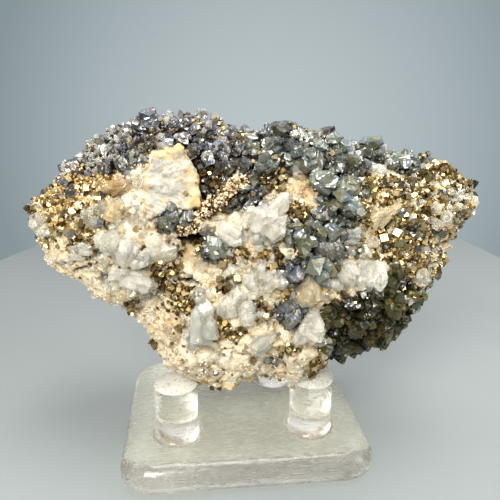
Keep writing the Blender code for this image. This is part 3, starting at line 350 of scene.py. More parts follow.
RIM_LAYERS = [(700, 0.9, 1.4, 0.75, 0.1), (1500, 0.5, 1.0, 0.75, 0.4), (1500, 0.3, 0.6, 0.75, 0.8)]
SPOT_LAYERS = [(1200, 1.2, 2.0, 0.9, 0.4), (2200, 0.7, 1.2, 0.9, 0.9), (2200, 0.4, 0.8, 0.9, 1.6)]
# Gold crusts: node, zone, how sparse it is and its side, -1 left or 1 right
GOLD_CRUSTS = [
    ("pyrite_left_slope", "left_slope", 0.24, -1), ("pyrite_right_end", "right_end", 0.0, 1),
]
# Share of gold specks in each zone
SPECK_SHARES = {
    "ridge_left": 0.10, "ridge_right": 0.08, "left_slope": 0.1, "right_end": 0.25,
    "middle_dark": 0.04, "lower_right": 0.03,
}
# How large the crystals beside a dark one are, in its own size
DARK_BESIDE = (0.74, 0.62, 0.52, 0.44, 0.36)


def length_value(name, description, size, low, high):
    """A length to set, given in mm."""
    return FloatProperty(name=name, description=description, default=size * MM, min=low * MM,
                         max=high * MM, unit="LENGTH")


def colour_value(name, description, colour):
    """A colour to set."""
    return FloatVectorProperty(name=name, description=description, subtype="COLOR",
                               default=colour, min=0.0, max=1.0)


class SpecimenSizes(bpy.types.PropertyGroup):
    rock_detail: length_value(
        "Rock Detail", "Distance between the rock's modelled points", 0.60, 0.3, 2)
    lump_height: length_value(
        "Lump Height", "How far the rock's sugary lumps stand out", 0.55, 0.0, 2)
    gold_grain: length_value(
        "Gold Grain", "Usual width of a pyrite crystal", 1.2, 0.3, 3)
    dark_grain: length_value(
        "Dark Grain", "Usual width of a small sphalerite crystal", 2.0, 0.5, 5)
    sugar_grain: length_value(
        "Sugar Grain", "Usual width of the rock's loose pale grains", 0.85, 0.3, 3)
    gold_count: IntProperty(
        name="Gold Tries", description="Places tried for pyrite crystals",
        default=9000, min=0, max=40000)
    sugar_count: IntProperty(
        name="Sugar Tries", description="Places tried for pale grains",
        default=4500, min=0, max=40000)


class SpecimenColours(bpy.types.PropertyGroup):
    cream: colour_value("Cream Rock", "Main colour of the matrix", (0.88, 0.78, 0.57))
    stain: colour_value("Iron Stain", "Rusty stain in the hollows", (0.60, 0.32, 0.08))
    gold: colour_value("Pyrite", "Colour of the pyrite crystals", (0.66, 0.54, 0.30))
    dark: colour_value("Sphalerite", "Colour of the dark crystals", (0.007, 0.008, 0.012))
    quartz: colour_value("Quartz", "Colour of the milky crystals", (0.92, 0.90, 0.85))
    acrylic: colour_value("Acrylic", "Tint of the clear stand", (0.90, 0.88, 0.82))


class StageSettings(bpy.types.PropertyGroup):
    floor: colour_value("Table", "Colour of the table top", (0.285, 0.310, 0.312))
    backdrop: colour_value(
        "Backdrop", "Colour of the bright middle of the backdrop", (0.436, 0.488, 0.506))
    backdrop_edge: colour_value(
        "Backdrop Edge", "Colour of the backdrop away from its middle", (0.237, 0.285, 0.297))
    key_power: FloatProperty(
        name="Key Power", description="Power of the main soft light", default=4.8, min=0.0,
        unit="POWER")


# Places on the stone


def to_part(points):
    """Points in the stone's frame in mm as points of the part in metres."""
    return (np.asarray(points) @ STONE_TO_PART.T + np.array(STONE_FOOT)) * MM


def to_stone(points):
    """Points of the part in metres as points in the stone's frame in mm."""
    return (np.asarray(points) / MM - np.array(STONE_FOOT)) @ STONE_TO_PART


def seen_at(points):
    """Where on the face's layout points are seen, or lie square on behind the rim."""
    share = -SIGHT_POINT[1] / (points[:, 1] - SIGHT_POINT[1])
    seen = SIGHT_POINT[[0, 2]] + (points[:, [0, 2]] - SIGHT_POINT[[0, 2]]) * share[:, None]
    return np.where((points[:, 1] < 0)[:, None], seen, points[:, [0, 2]])


def wobble(seen, size, height, seed):
    """Shifts places on the face by a smooth noise, so that zones get ragged edges."""
    shifts = [
        noise.noise_vector(Vector((u / size, v / size, seed))) * height for u, v in seen.tolist()
    ]
    return seen + np.array(shifts)[:, :2]


def inside(outline, seen):
    """Which places on the face are inside an outline."""
    found = np.zeros(len(seen), bool)
    u, v = seen[:, 0], seen[:, 1]
    for (u0, v0), (u1, v1) in zip(outline, outline[1:] + outline[:1]):
        if v0 == v1:
            continue
        crosses = ((v0 > v) != (v1 > v)) & (u < u0 + (v - v0) / (v1 - v0) * (u1 - u0))
        found ^= crosses
    return found


def spots(rows, seen, sharpness=2.0):
    """Strength of the nearest soft-edged spots at places on the face, 0 to 1."""
    total = np.zeros(len(seen))
    for u, v, half_width, half_height, strength in rows:
        reach = ((seen[:, 0] - u) / half_width) ** 2 + ((seen[:, 1] - v) / half_height) ** 2
        total = np.maximum(total, strength * np.exp(-reach ** sharpness * math.log(2)))
    return total


def crowding(points, size, seed):
    """Where crystals crowd together: a smooth noise over the stone, about -0.5 to 0.5."""
    shift = Vector((seed, -seed, 2 * seed))
    return np.array([noise.noise(Vector(point) / size + shift) for point in points.tolist()])


def distance_to_path(path, seen):
    """How far (mm) places on the face are from a path."""
    best = np.full(len(seen), np.inf)
    for start, end in zip(path, path[1:]):
        a, b = np.array(start, float), np.array(end, float)
        along = np.clip(((seen - a) @ (b - a)) / ((b - a) @ (b - a)), 0, 1)
        best = np.minimum(best, np.linalg.norm(seen - a - along[:, None] * (b - a), axis=1))
    return best


class Surface:
    """Triangles that crystals grow on, in the stone's frame in mm."""

    def __init__(self, corners, triangles):
        a, b, c = (corners[triangles[:, side]] for side in range(3))
        cross = np.cross(b - a, c - a)
        length = np.maximum(np.linalg.norm(cross, axis=1), 1e-9)
        self.corners = corners
        self.triangles = triangles
        self.areas = length / 2
        self.normals = cross / length[:, None]
        self.middles = (a + b + c) / 3
        self.seen = seen_at(self.middles)
        self.ragged = wobble(self.seen, *RAGGED)
        to_eye = SIGHT_POINT - self.middles
        facing = (self.normals * to_eye).sum(axis=1) > 0
        self.front = facing & (self.middles[:, 1] < FACE_DEPTH)
        self.tree = BVHTree.FromPolygons(corners.tolist(), triangles.tolist())

    def zone(self, name):
        """Which triangles are in a zone, with ragged edges."""
        return inside(ZONES[name], self.ragged)

    def before(self, depth):
        """Which triangles lie in front of a depth in mm."""
        return self.middles[:, 1] < depth

    def worn(self, least):
        """1 on whole crust, falling to the given least where it is worn off."""
        return np.clip(1.0 - spots(BARE_SPOTS, self.ragged), least, 1.0)

    def seat(self, u, v):
        """Where the line of sight through (u, v) meets the surface, with its normal."""
        eye = Vector(SIGHT_POINT)
        way = (Vector((u, 0.0, v)) - eye).normalized()
        point, normal, _, _ = self.tree.ray_cast(eye, way)
        if point is None:
            point, normal, _, _ = self.tree.find_nearest(Vector((u, 0.0, v)))
        return point, normal


def mesh_arrays(mesh):
    """Corners in the stone's frame (mm) and triangles of a mesh."""
    mesh.calc_loop_triangles()
    corners = np.empty(len(mesh.vertices) * 3)
    mesh.vertices.foreach_get("co", corners)
    triangles = np.empty(len(mesh.loop_triangles) * 3, int)
    mesh.loop_triangles.foreach_get("vertices", triangles)
    return to_stone(corners.reshape(-1, 3)), triangles.reshape(-1, 3)


def node_arrays(name):
    """The same of a CAD node's solid."""
    return mesh_arrays(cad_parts[name].data)


def corner_normals(corners, triangles):
    """Normals at the corners, summed in a fixed order so that they are the same each time."""
    a, b, c = (corners[triangles[:, side]] for side in range(3))
    cross = np.cross(b - a, c - a)
    normals = np.zeros_like(corners)
    for side in range(3):
        for axis in range(3):
            normals[:, axis] += np.bincount(triangles[:, side], cross[:, axis], len(corners))
    return normals / np.maximum(np.linalg.norm(normals, axis=1), 1e-12)[:, None]


def spread(surface, weights, count, small, large, apart, draw):
    """Random places on a surface with normals and sizes, none closer than their sizes allow."""
    share = weights * surface.areas
    if share.sum() <= 0:
        return np.empty((0, 3)), np.empty((0, 3)), np.empty(0)
    picks = draw.choice(len(share), size=count, p=share / share.sum())
    low, high = np.sort(draw.random((count, 2)), axis=1).T
    corners = surface.corners[surface.triangles[picks]]
    points = (corners[:, 0] * low[:, None] + corners[:, 1] * (high - low)[:, None]
              + corners[:, 2] * (1 - high)[:, None])
    sizes = small + (large - small) * draw.random(count) ** 2.0
    cell = large * apart
    taken = {}
    kept = []
    for index, (place, size) in enumerate(zip(points.tolist(), sizes.tolist())):
        home = tuple(int(c // cell) for c in place)
        near = [
            other
            for i in (-1, 0, 1) for j in (-1, 0, 1) for k in (-1, 0, 1)
            for other in taken.get((home[0] + i, home[1] + j, home[2] + k), ())
        ]
        if any(
            (place[0] - o[0]) ** 2 + (place[1] - o[1]) ** 2 + (place[2] - o[2]) ** 2
            < ((size + o[3]) / 2 * apart) ** 2
            for o in near
        ):
            continue
        taken.setdefault(home, []).append((*place, size))
        kept.append(index)
    return points[kept], surface.normals[picks[kept]], sizes[kept]


def layered(surface, weights, layers, grain, draw, share=1.0):
    """Places for one layer of crystals after another, each with how far out it sits."""
    for tries, small, large, apart, rise in layers:
        yield *spread(surface, weights, int(tries * share), small * grain, large * grain, apart,
                      draw), rise


# Crystal shapes, about their own middle and about 1 across


def shape_of(bm):
    """A bmesh as arrays: corners, the corner numbers face after face, and each face's count."""
    bm.verts.index_update()
    corners = np.array([vert.co for vert in bm.verts])
    loops = np.array([vert.index for face in bm.faces for vert in face.verts])
    counts = np.array([len(face.verts) for face in bm.faces])
    bm.free()
    return corners, loops, counts


def mesh_of(bm, name):
    """A bmesh as a new mesh."""
    mesh = bpy.data.meshes.new(name)
    bm.to_mesh(mesh)
    bm.free()
    return mesh


def hull(points):
    """The body stretched over points, with flat faces in one piece."""
    bm = bmesh.new()
    for point in points:
        bm.verts.new(point)
    bmesh.ops.convex_hull(bm, input=bm.verts)
    bmesh.ops.dissolve_limit(bm, angle_limit=math.radians(1), verts=bm.verts, edges=bm.edges)
    return bm


def trim(bm, place, way):
    """Cuts off what lies past a plane and closes the cut."""
    made = bmesh.ops.bisect_plane(bm, geom=bm.verts[:] + bm.edges[:] + bm.faces[:],
                                  plane_co=place, plane_no=way, clear_outer=True)
    cut = [item for item in made["geom_cut"] if isinstance(item, bmesh.types.BMEdge)]
    if cut:
        bmesh.ops.contextual_create(bm, geom=cut)


def bevel(bm, edges, width, segments=1, clamp=False):
    """Cuts edges off, or rounds them when there are several segments."""
    bmesh.ops.bevel(bm, geom=edges, offset=width, segments=segments, profile=0.5,
                    affect="EDGES", material=-1, clamp_overlap=clamp)
    return bm


def any_way(draw):
    """A random direction."""
    return Vector(draw.gauss(0, 1) for _ in range(3)).normalized()


def cut_tetrahedron(cut):
    """A tetrahedron with its corners cut off."""
    corners = [Vector(c) for c in ((1, 1, 1), (1, -1, -1), (-1, 1, -1), (-1, -1, 1))]
    return hull([(a + (b - a) * cut) * 0.44 for a in corners for b in corners if a is not b])


def twin_block(height):
    """A flattened twin: two triangles turned half a step to each other."""
    ring = [math.radians(60 * step) for step in range(6)]
    return hull([
        (0.52 * math.cos(angle), 0.52 * math.sin(angle), height / 2 * (1 if i % 2 else -1))
        for i, angle in enumerate(ring)
    ])


def blocky(draw):
    """A blocky crystal: a cube trimmed by flat faces at uneven distances."""
    bm = bmesh.new()
    bmesh.ops.create_cube(bm, size=0.95)
    for _ in range(9):
        way = any_way(draw)
        trim(bm, way * draw.uniform(0.30, 0.44), way)
    return bm


def compound(bm, draw, pieces):
    """Smaller copies of a crystal grown into it side by side, all turned alike."""
    first = bm.verts[:] + bm.edges[:] + bm.faces[:]
    for _ in range(pieces):
        made = bmesh.ops.duplicate(bm, geom=first)
        moved = [item for item in made["geom"] if isinstance(item, bmesh.types.BMVert)]
        size = draw.uniform(0.45, 0.78)
        bmesh.ops.scale(bm, vec=(size, size, size), verts=moved)
        bmesh.ops.translate(bm, vec=any_way(draw) * draw.uniform(0.2, 0.4), verts=moved)
    return bm


def stepped(bm, inset, rise):
    """Growth steps: every face gets a smaller face a little above it."""
    bmesh.ops.inset_individual(bm, faces=bm.faces[:], thickness=inset, depth=rise)
    bmesh.ops.recalc_face_normals(bm, faces=bm.faces)
    return bm


def gold_cube(cut):
    """A pyrite cube, with its edges cut if asked."""
    bm = bmesh.new()
    bmesh.ops.create_cube(bm, size=0.8)
    return bevel(bm, bm.edges[:], cut) if cut else bm


def quartz_point(draw, flat, foot, height):
    """A six-sided crystal of width 1 along +Z, with an uneven blunt six-faced point."""
    bm = bmesh.new()
    bmesh.ops.create_cone(bm, segments=6, radius1=0.5 * foot, radius2=0.5, depth=height,
                          cap_ends=True)
    bmesh.ops.scale(bm, vec=(1.0, flat, 1.0), verts=bm.verts)
    bmesh.ops.translate(bm, vec=(0, 0, height / 2), verts=bm.verts)
    steep = math.radians(52)
    for side in range(6):
        angle = math.radians(60 * side + 30)
        out = Vector((math.cos(angle) * math.sin(steep), math.sin(angle) * math.sin(steep),
                      math.cos(steep)))
        reach = height + (-0.06 if side % 2 else 0.06) + draw.uniform(-0.1, 0.06)
        trim(bm, (0, 0, reach), out)
    bmesh.ops.translate(bm, vec=(0, 0, -height / 2), verts=bm.verts)
    return bm


def soft_point(draw, height):
    """A large quartz crystal with its edges a little worn."""
    bm = quartz_point(draw, draw.uniform(0.8, 1.0), 0.95, height)
    return bevel(bm, bm.edges[:], 0.03, clamp=True)


def pebble(draw, count):
    """A small broken grain."""
    return hull([Vector(draw.uniform(-1, 1) for _ in range(3)).normalized()
                 * draw.uniform(0.40, 0.56) for _ in range(count)])


def make_shapes():
    """The crystals and grains that the pieces are made of, by kind."""
    draw = random.Random(SEEDS["shapes"])
    dark = [compound(cut_tetrahedron(0.2), draw, 2), compound(cut_tetrahedron(0.32), draw, 2),
            compound(twin_block(0.62), draw, 2), compound(twin_block(0.5), draw, 2),
            *(blocky(draw) for _ in range(5))]
    large = [compound(stepped(cut_tetrahedron(0.3), 0.05, 0.02), draw, 4),
             compound(stepped(twin_block(0.6), 0.06, 0.02), draw, 4),
             compound(stepped(twin_block(0.45), 0.05, 0.02), draw, 5),
             compound(stepped(blocky(draw), 0.04, 0.03), draw, 4),
             compound(stepped(blocky(draw), 0.05, 0.02), draw, 5)]
    return {
        "dark": [shape_of(bm) for bm in dark],
        "dark_large": [shape_of(bm) for bm in large],
        "gold": [shape_of(bm) for bm in (gold_cube(0.0), gold_cube(0.1),
                                         compound(gold_cube(0.0), draw, 2),
                                         compound(gold_cube(0.0), draw, 3))],
        "quartz": [shape_of(quartz_point(draw, draw.uniform(0.7, 1.0), draw.uniform(0.8, 1.0),
                                         draw.uniform(1.0, 1.8))) for _ in range(6)],
        "quartz_large": [
            shape_of(soft_point(draw, height)) for height in QUARTZ_HEIGHTS for _ in range(2)
        ],
        "grain": [shape_of(pebble(draw, 9)) for _ in range(6)],
    }


class Heap:
    """Copies of a few shapes gathered into one mesh. Each copy has its own tone and tint."""

    def __init__(self):
        self.corners = []
        self.loops = []
        self.counts = []
        self.values = {"tone": [], "tint": []}
        self.total = 0

    def add(self, shape, turns, places, tones, tints):
        corners, loops, counts = shape
        copies = len(places)
        if not copies:
            return
        moved = np.einsum("nij,kj->nki", turns, corners) + np.asarray(places)[:, None, :]
        offsets = self.total + len(corners) * np.arange(copies)
        self.corners.append(moved.reshape(-1, 3))
        self.loops.append((loops[None, :] + offsets[:, None]).ravel())
        self.counts.append(np.tile(counts, copies))
        for name, values in (("tone", tones), ("tint", tints)):
            self.values[name].append(np.repeat(np.broadcast_to(values, copies), len(corners)))
        self.total += copies * len(corners)

    def scatter(self, shapes, points, normals, sizes, draw, rise, tones, tints, stand=None):
        """Adds a copy at each place: turned at random, or standing within a lean of the normal."""
        which = draw.integers(len(shapes), size=len(points))
        if stand is None:
            turns = random_turns(len(points), draw)
        else:
            turns = standing_turns(normals, stand, draw)
        places = points + normals * (sizes * rise)[:, None]
        turns = turns * sizes[:, None, None]
        tones = np.broadcast_to(tones, (len(points),))
        tints = np.broadcast_to(tints, (len(points),))
        for index, shape in enumerate(shapes):
            pick = which == index
            self.add(shape, turns[pick], places[pick], tones[pick], tints[pick])

    def arrays(self):
        """Corners and triangles so far, for casting onto."""
        corners = np.concatenate(self.corners)
        loops = np.concatenate(self.loops)
        counts = np.concatenate(self.counts)
        starts = np.cumsum(counts) - counts
        fans = []
        for step in range(1, counts.max() - 1):
            wide = counts > step + 1
            at = starts[wide]
            fans.append(np.stack([loops[at], loops[at + step], loops[at + step + 1]], axis=1))
        return corners, np.concatenate(fans)

    def build(self, name, slot, material):
        """The finished piece, with a random facet value on every face."""
        corners = to_part(np.concatenate(self.corners))
        loops = np.concatenate(self.loops)
        counts = np.concatenate(self.counts)
        mesh = bpy.data.meshes.new(name)
        mesh.vertices.add(len(corners))
        mesh.vertices.foreach_set("co", corners.ravel())
        mesh.loops.add(len(loops))
        mesh.loops.foreach_set("vertex_index", loops.astype(np.int32))
        mesh.polygons.add(len(counts))
        mesh.polygons.foreach_set("loop_start", (np.cumsum(counts) - counts).astype(np.int32))
        mesh.update(calc_edges=True)
        mesh.shade_flat()
        for key, values in self.values.items():
            set_values(mesh, "POINT", **{key: np.concatenate(values)})
        set_values(mesh, "FACE", facet=np.random.default_rng(len(counts)).random(len(counts)))
        return finished(name, mesh, slot, material)


def random_turns(count, draw):
    """Random rotations, as matrices."""
    w, x, y, z = draw.normal(size=(4, count))
    length = np.sqrt(w * w + x * x + y * y + z * z)
    w, x, y, z = w / length, x / length, y / length, z / length
    return np.array([
        [1 - 2 * (y * y + z * z), 2 * (x * y - z * w), 2 * (x * z + y * w)],
        [2 * (x * y + z * w), 1 - 2 * (x * x + z * z), 2 * (y * z - x * w)],
        [2 * (x * z - y * w), 2 * (y * z + x * w), 1 - 2 * (x * x + y * y)],
    ]).transpose(2, 0, 1)


def standing_turns(normals, lean, draw):
    """Rotations that stand a shape's Z near each normal, spun at random."""
    axes = normals + draw.normal(size=normals.shape) * lean
    axes /= np.linalg.norm(axes, axis=1)[:, None]
    side = np.cross(axes, draw.normal(size=normals.shape))
    side /= np.maximum(np.linalg.norm(side, axis=1), 1e-9)[:, None]
    return np.stack([side, np.cross(axes, side), axes], axis=2)


def set_values(mesh, domain, **layers):
    """Writes values by name onto a mesh's points or faces, for its material to read."""
    for name, values in layers.items():
        layer = mesh.attributes.new(name, "FLOAT", domain)
        layer.data.foreach_set("value", np.asarray(values, np.float32))


def placed(name, data):
    """A new object in the scene."""
    thing = bpy.data.objects.new(name, data)
    bpy.context.scene.collection.objects.link(thing)
    return thing


def finished(name, mesh, slot, *materials):
    """Puts a finished mesh into the scene as a piece that rides with the specimen."""
    for material in materials:
        mesh.materials.append(material)
    piece = placed(name, mesh)
    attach(piece, "root")
    return piece


# Shader parts


def new_group(name, inputs, outputs):
    """An empty shader group with named sockets. Each row is name, socket type and default."""
    group = bpy.data.node_groups.new(name, "ShaderNodeTree")
    for label, kind, default in inputs:
        socket = group.interface.new_socket(label, in_out="INPUT", socket_type=kind)
        if default is not None:
            socket.default_value = default
    for label, kind in outputs:
        group.interface.new_socket(label, in_out="OUTPUT", socket_type=kind)
    return group, group.nodes.new("NodeGroupInput"), group.nodes.new("NodeGroupOutput")


def mix_colour(tree, factor, first, second, blend="MIX"):
    """A colour mix. Each argument is a socket or a plain value."""
    made = tree.nodes.new("ShaderNodeMix")
    made.data_type = "RGBA"
    made.blend_type = blend
    for key, value in ((0, factor), (6, first), (7, second)):
        if isinstance(value, bpy.types.NodeSocket):
            tree.links.new(value, made.inputs[key])
        elif key == 0:
            made.inputs[key].default_value = value
        else:
            made.inputs[key].default_value = (*value, 1.0)
    return made.outputs[2]


def ramp(tree, value, low, high):
    """Stretches a value so that low gives 0 and high gives 1."""
    made = tree.nodes.new("ShaderNodeMapRange")
    made.inputs["From Min"].default_value = low
    made.inputs["From Max"].default_value = high
    tree.links.new(value, made.inputs["Value"])
    return made.outputs["Result"]


def maths(tree, operation, first, second=0.0):
    """One step of arithmetic on sockets or plain values."""
    made = tree.nodes.new("ShaderNodeMath")
    made.operation = operation
    for key, value in ((0, first), (1, second)):
        if isinstance(value, bpy.types.NodeSocket):
            tree.links.new(value, made.inputs[key])
        else:
            made.inputs[key].default_value = value
    return made.outputs[0]


def times(tree, first, second):
    return maths(tree, "MULTIPLY", first, second)


def summed(tree, base, *parts):
    """A plain value with a share of each socket added. Each part is a socket and its share."""
    for value, share in parts:
        base = maths(tree, "ADD", base, times(tree, value, share))
    return base


def tinted(tree, colour, mask, share, over):
    """A colour with another laid over it, as far as the mask times the share says."""
    return mix_colour(tree, times(tree, mask, share), colour, over)


def shaded(colour, shares):
    """A plain colour with each channel taken down by its share."""
    return tuple(channel * share for channel, share in zip(colour, shares))


def noise_value(tree, coordinates, size, detail=2.0, roughness=0.55):
    """Noise with features of about the given size in metres."""
    made = tree.nodes.new("ShaderNodeTexNoise")
    made.inputs["Scale"].default_value = 1.0 / size
    made.inputs["Detail"].default_value = detail
    made.inputs["Roughness"].default_value = roughness
    tree.links.new(coordinates, made.inputs["Vector"])
    return made.outputs["Fac"]


def patches(tree, where, size, low, high, detail=3.0, roughness=0.55):
    """Soft patches of about the given size in mm, from 0 where the noise is low to 1."""
    return ramp(tree, noise_value(tree, where, size * MM, detail, roughness), low, high)


def cell_value(tree, coordinates, size, output="Color"):
    """Cells of about the given size in metres: a random colour each, or the distance to one."""
    made = tree.nodes.new("ShaderNodeTexVoronoi")
    made.inputs["Scale"].default_value = 1.0 / size
    tree.links.new(coordinates, made.inputs["Vector"])
    return made.outputs[output]


def attribute(tree, name):
    made = tree.nodes.new("ShaderNodeAttribute")
    made.attribute_name = name
    return made.outputs["Fac"]


def object_coordinates(tree):
    return tree.nodes.new("ShaderNodeTexCoord").outputs["Object"]


def mottle_group():
    """Two colours mottled over each other at two sizes."""
    group, inlet, outlet = new_group(
        "Mottle",
        [("Vector", "NodeSocketVector", None), ("First", "NodeSocketColor", None),
         ("Second", "NodeSocketColor", None), ("Contrast", "NodeSocketFloat", 0.5)],
        [("Color", "NodeSocketColor")],
    )
    broad = noise_value(group, inlet.outputs["Vector"], 4.0 * MM, 3.0)
    fine = noise_value(group, inlet.outputs["Vector"], 0.6 * MM, 3.0, 0.65)
    both = maths(group, "ADD", times(group, broad, 0.55), times(group, fine, 0.45))
    colour = tinted(group, inlet.outputs["First"], ramp(group, both, 0.40, 0.60),
                    inlet.outputs["Contrast"], inlet.outputs["Second"])
    group.links.new(colour, outlet.inputs["Color"])
    return group


def sugar_group():
    """Tiny broken grains: a height, a mask of grains painted bright, pale grains and painted
    glints, and one of dark ones.
    """
    group, inlet, outlet = new_group(
        "Sugar",
        [("Vector", "NodeSocketVector", None)],
        [("Height", "NodeSocketFloat"), ("Sparkle", "NodeSocketFloat"),
         ("Speck", "NodeSocketFloat")],
    )
    vector = inlet.outputs["Vector"]
    coarse = cell_value(group, vector, 0.7 * MM, "Distance")
    fine = noise_value(group, vector, 0.25 * MM, 2.0, 0.7)
    height = maths(group, "SUBTRACT", times(group, fine, 0.7), coarse)
    group.links.new(height, outlet.inputs["Height"])
    cells = cell_value(group, vector, 0.55 * MM)
    group.links.new(ramp(group, cells, 0.62, 0.72), outlet.inputs["Sparkle"])
    specks = cell_value(group, vector, 0.9 * MM)
    group.links.new(ramp(group, specks, 0.25, 0.20), outlet.inputs["Speck"])
    return group


def use_group(tree, group, **links):
    """A group in a material, with its sockets linked or set to plain values."""
    made = tree.nodes.new("ShaderNodeGroup")
    made.node_tree = group
    for key, value in links.items():
        socket = made.inputs[key.title()]
        if isinstance(value, bpy.types.NodeSocket):
            tree.links.new(value, socket)
        elif isinstance(value, (int, float)):
            socket.default_value = value
        else:
            socket.default_value = (*value, 1.0)
    return made


def bump(tree, height, strength, distance, below=None):
    """Bumps of a height, over those below if there are any. The distance is in metres."""
    made = tree.nodes.new("ShaderNodeBump")
    made.inputs["Strength"].default_value = strength
    made.inputs["Distance"].default_value = distance
    tree.links.new(height, made.inputs["Height"])
    if below is not None:
        tree.links.new(below, made.inputs["Normal"])
    return made.outputs["Normal"]


def new_material(name, **values):
    """A material with its surface shader's plain values set."""
    material = bpy.data.materials.new(name)
    material.use_nodes = True
    tree = material.node_tree
    shader = tree.nodes["Principled BSDF"]
    for key, value in values.items():
        socket = shader.inputs[key.replace("_", " ")]
        socket.default_value = (*value, 1.0) if isinstance(value, tuple) else value
    return material, tree, shader


def let_light_in(tree, shader, tint):
    """Lets the lamps shine through a clear body onto what is behind it."""
    open_way = tree.nodes.new("ShaderNodeBsdfTransparent")
    open_way.inputs["Color"].default_value = (*tint, 1.0)
    mix = tree.nodes.new("ShaderNodeMixShader")
    shadow = tree.nodes.new("ShaderNodeLightPath").outputs["Is Shadow Ray"]
    tree.links.new(shadow, mix.inputs[0])
    tree.links.new(shader.outputs["BSDF"], mix.inputs[1])
    tree.links.new(open_way.outputs["BSDF"], mix.inputs[2])
    tree.links.new(mix.outputs["Shader"], tree.nodes["Material Output"].inputs["Surface"])


def join_up(tree, shader, colour=None, rough=None, normal=None):
    """Leads what was made into the surface shader."""
    for name, value in (("Base Color", colour), ("Roughness", rough), ("Normal", normal)):
        if value is not None:
            tree.links.new(value, shader.inputs[name])


# Materials. Each maker takes the settings' colours and the shader groups

# Pale grains, and painted glints
BRIGHT_GRAIN_AND_GLINT = (0.93, 0.90, 0.80)
MILKY_ROCK = (0.78, 0.79, 0.72)
# Under the gold crusts: the rock's own brown, and painted shade between the crystals
ROCK_UNDER_GOLD_AND_SHADE = (0.24, 0.17, 0.07)
# Painted shade in the hollows of the rock
ROCK_HOLLOW_SHADE = (0.33, 0.24, 0.12)
DULL_ROCK = (0.50, 0.41, 0.29)
ROCK_SPECK = (0.16, 0.12, 0.07)
# Near black: the dark crust, painted shade between its crystals, and painted shade in the cracks
DARK_CRUST_AND_SHADE = (0.020, 0.018, 0.016)


def rock_material(colours, groups):
    material, tree, shader = new_material("sugary_rock", Specular_IOR_Level=0.5)
    where = object_coordinates(tree)
    cream = tuple(colours.cream)
    pink = shaded(cream, (0.96, 0.84, 0.78))
    mottled = use_group(tree, groups["mottle"], vector=where, first=cream, second=pink,
                        contrast=0.7)
    sugar = use_group(tree, groups["sugar"], vector=where)
    bright = sugar.outputs["Sparkle"]
    # Some grains are painted bright: pale grains, and painted glints
    colour = tinted(tree, mottled.outputs["Color"], bright, 0.5, BRIGHT_GRAIN_AND_GLINT)
    colour = tinted(tree, colour, attribute(tree, "milky"), 0.8, MILKY_ROCK)
    rusty = patches(tree, where, 1.6, 0.25, 0.62)
    colour = tinted(tree, colour, attribute(tree, "stain"), rusty, tuple(colours.stain))
    # Under the gold crusts the rock is painted dark brown, its own brown and painted shade between
    # the crystals
    colour = tinted(tree, colour, attribute(tree, "gold"), 0.65, ROCK_UNDER_GOLD_AND_SHADE)
    # The hollows of the relief are painted brown as painted shade
    colour = tinted(tree, colour, attribute(tree, "hollow"), 0.85, ROCK_HOLLOW_SHADE)
    dull = patches(tree, where, 3.0, 0.43, 0.60, 4.0, 0.7)
    colour = tinted(tree, colour, dull, 0.62, DULL_ROCK)
    specks = times(tree, sugar.outputs["Speck"], patches(tree, where, 5, 0.36, 0.56, 2.0))
    colour = tinted(tree, colour, specks, 0.75, ROCK_SPECK)
    # Painted near black under the dark crusts, partly as painted shade between their crystals, and
    # in the cracks as painted shade
    colour = mix_colour(tree, attribute(tree, "dark"), colour, DARK_CRUST_AND_SHADE)
    grains = bump(tree, sugar.outputs["Height"], 0.7, 0.25 * MM)
    join_up(tree, shader, colour, summed(tree, 0.82, (bright, -0.5)), grains)
    return material


PLATE_WHITE = (0.52, 0.48, 0.40)
PLATE_GREY = (0.29, 0.30, 0.31)
PLATE_CREAM = (0.66, 0.52, 0.28)
PLATE_RIM = (0.70, 0.49, 0.18)
PLATE_SPECK = (0.36, 0.26, 0.12)
# Painted shade in the plate's hollows
PLATE_HOLLOW_SHADE = (0.40, 0.36, 0.30)


def plate_material(colours, groups):
    material, tree, shader = new_material("white_vein_quartz", Specular_IOR_Level=0.5)
    where = object_coordinates(tree)
    mottled = use_group(tree, groups["mottle"], vector=where, first=PLATE_WHITE,
                        second=PLATE_GREY, contrast=0.95)
    sugar = use_group(tree, groups["sugar"], vector=where)
    cream = patches(tree, where, 2.6, 0.52, 0.66)
    colour = tinted(tree, mottled.outputs["Color"], cream, 0.7, PLATE_CREAM)
    rusty = patches(tree, where, 1.4, 0.30, 0.60)
    colour = tinted(tree, colour, attribute(tree, "edge"), rusty, PLATE_RIM)
    colour = tinted(tree, colour, sugar.outputs["Speck"], 0.8, PLATE_SPECK)
    # The plate's hollows are painted darker as painted shade
    colour = tinted(tree, colour, attribute(tree, "hollow"), 0.5, PLATE_HOLLOW_SHADE)
    grains = bump(tree, sugar.outputs["Height"], 0.5, 0.2 * MM)
    join_up(tree, shader, colour, summed(tree, 0.70, (sugar.outputs["Sparkle"], -0.4)), grains)
    return material


# Dark to pale crystals at the left of the ridge, at its right, and at the lower right
# The pale ends are partly the crystals' own colour and partly painted highlight
BLUE_PALE = (0.175, 0.175, 0.19)
GREEN_DARK, GREEN_PALE = (0.008, 0.011, 0.009), (0.18, 0.205, 0.165)
OLIVE_DARK, OLIVE_PALE = (0.006, 0.006, 0.001), (0.105, 0.100, 0.030)
# Hues that some faces are multiplied by: a painted sheen of colour
WARM_FACE_SHEEN = (1.14, 0.98, 0.52)
COOL_FACE_SHEEN = (0.74, 0.92, 1.22)
FROSTED = (0.34, 0.33, 0.34)
BROWN_DUST = (0.20, 0.14, 0.06)
SPHALERITE_IOR = 2.3
# The olive crystals at the lower right shine less than the others
OLIVE_IOR = 1.6


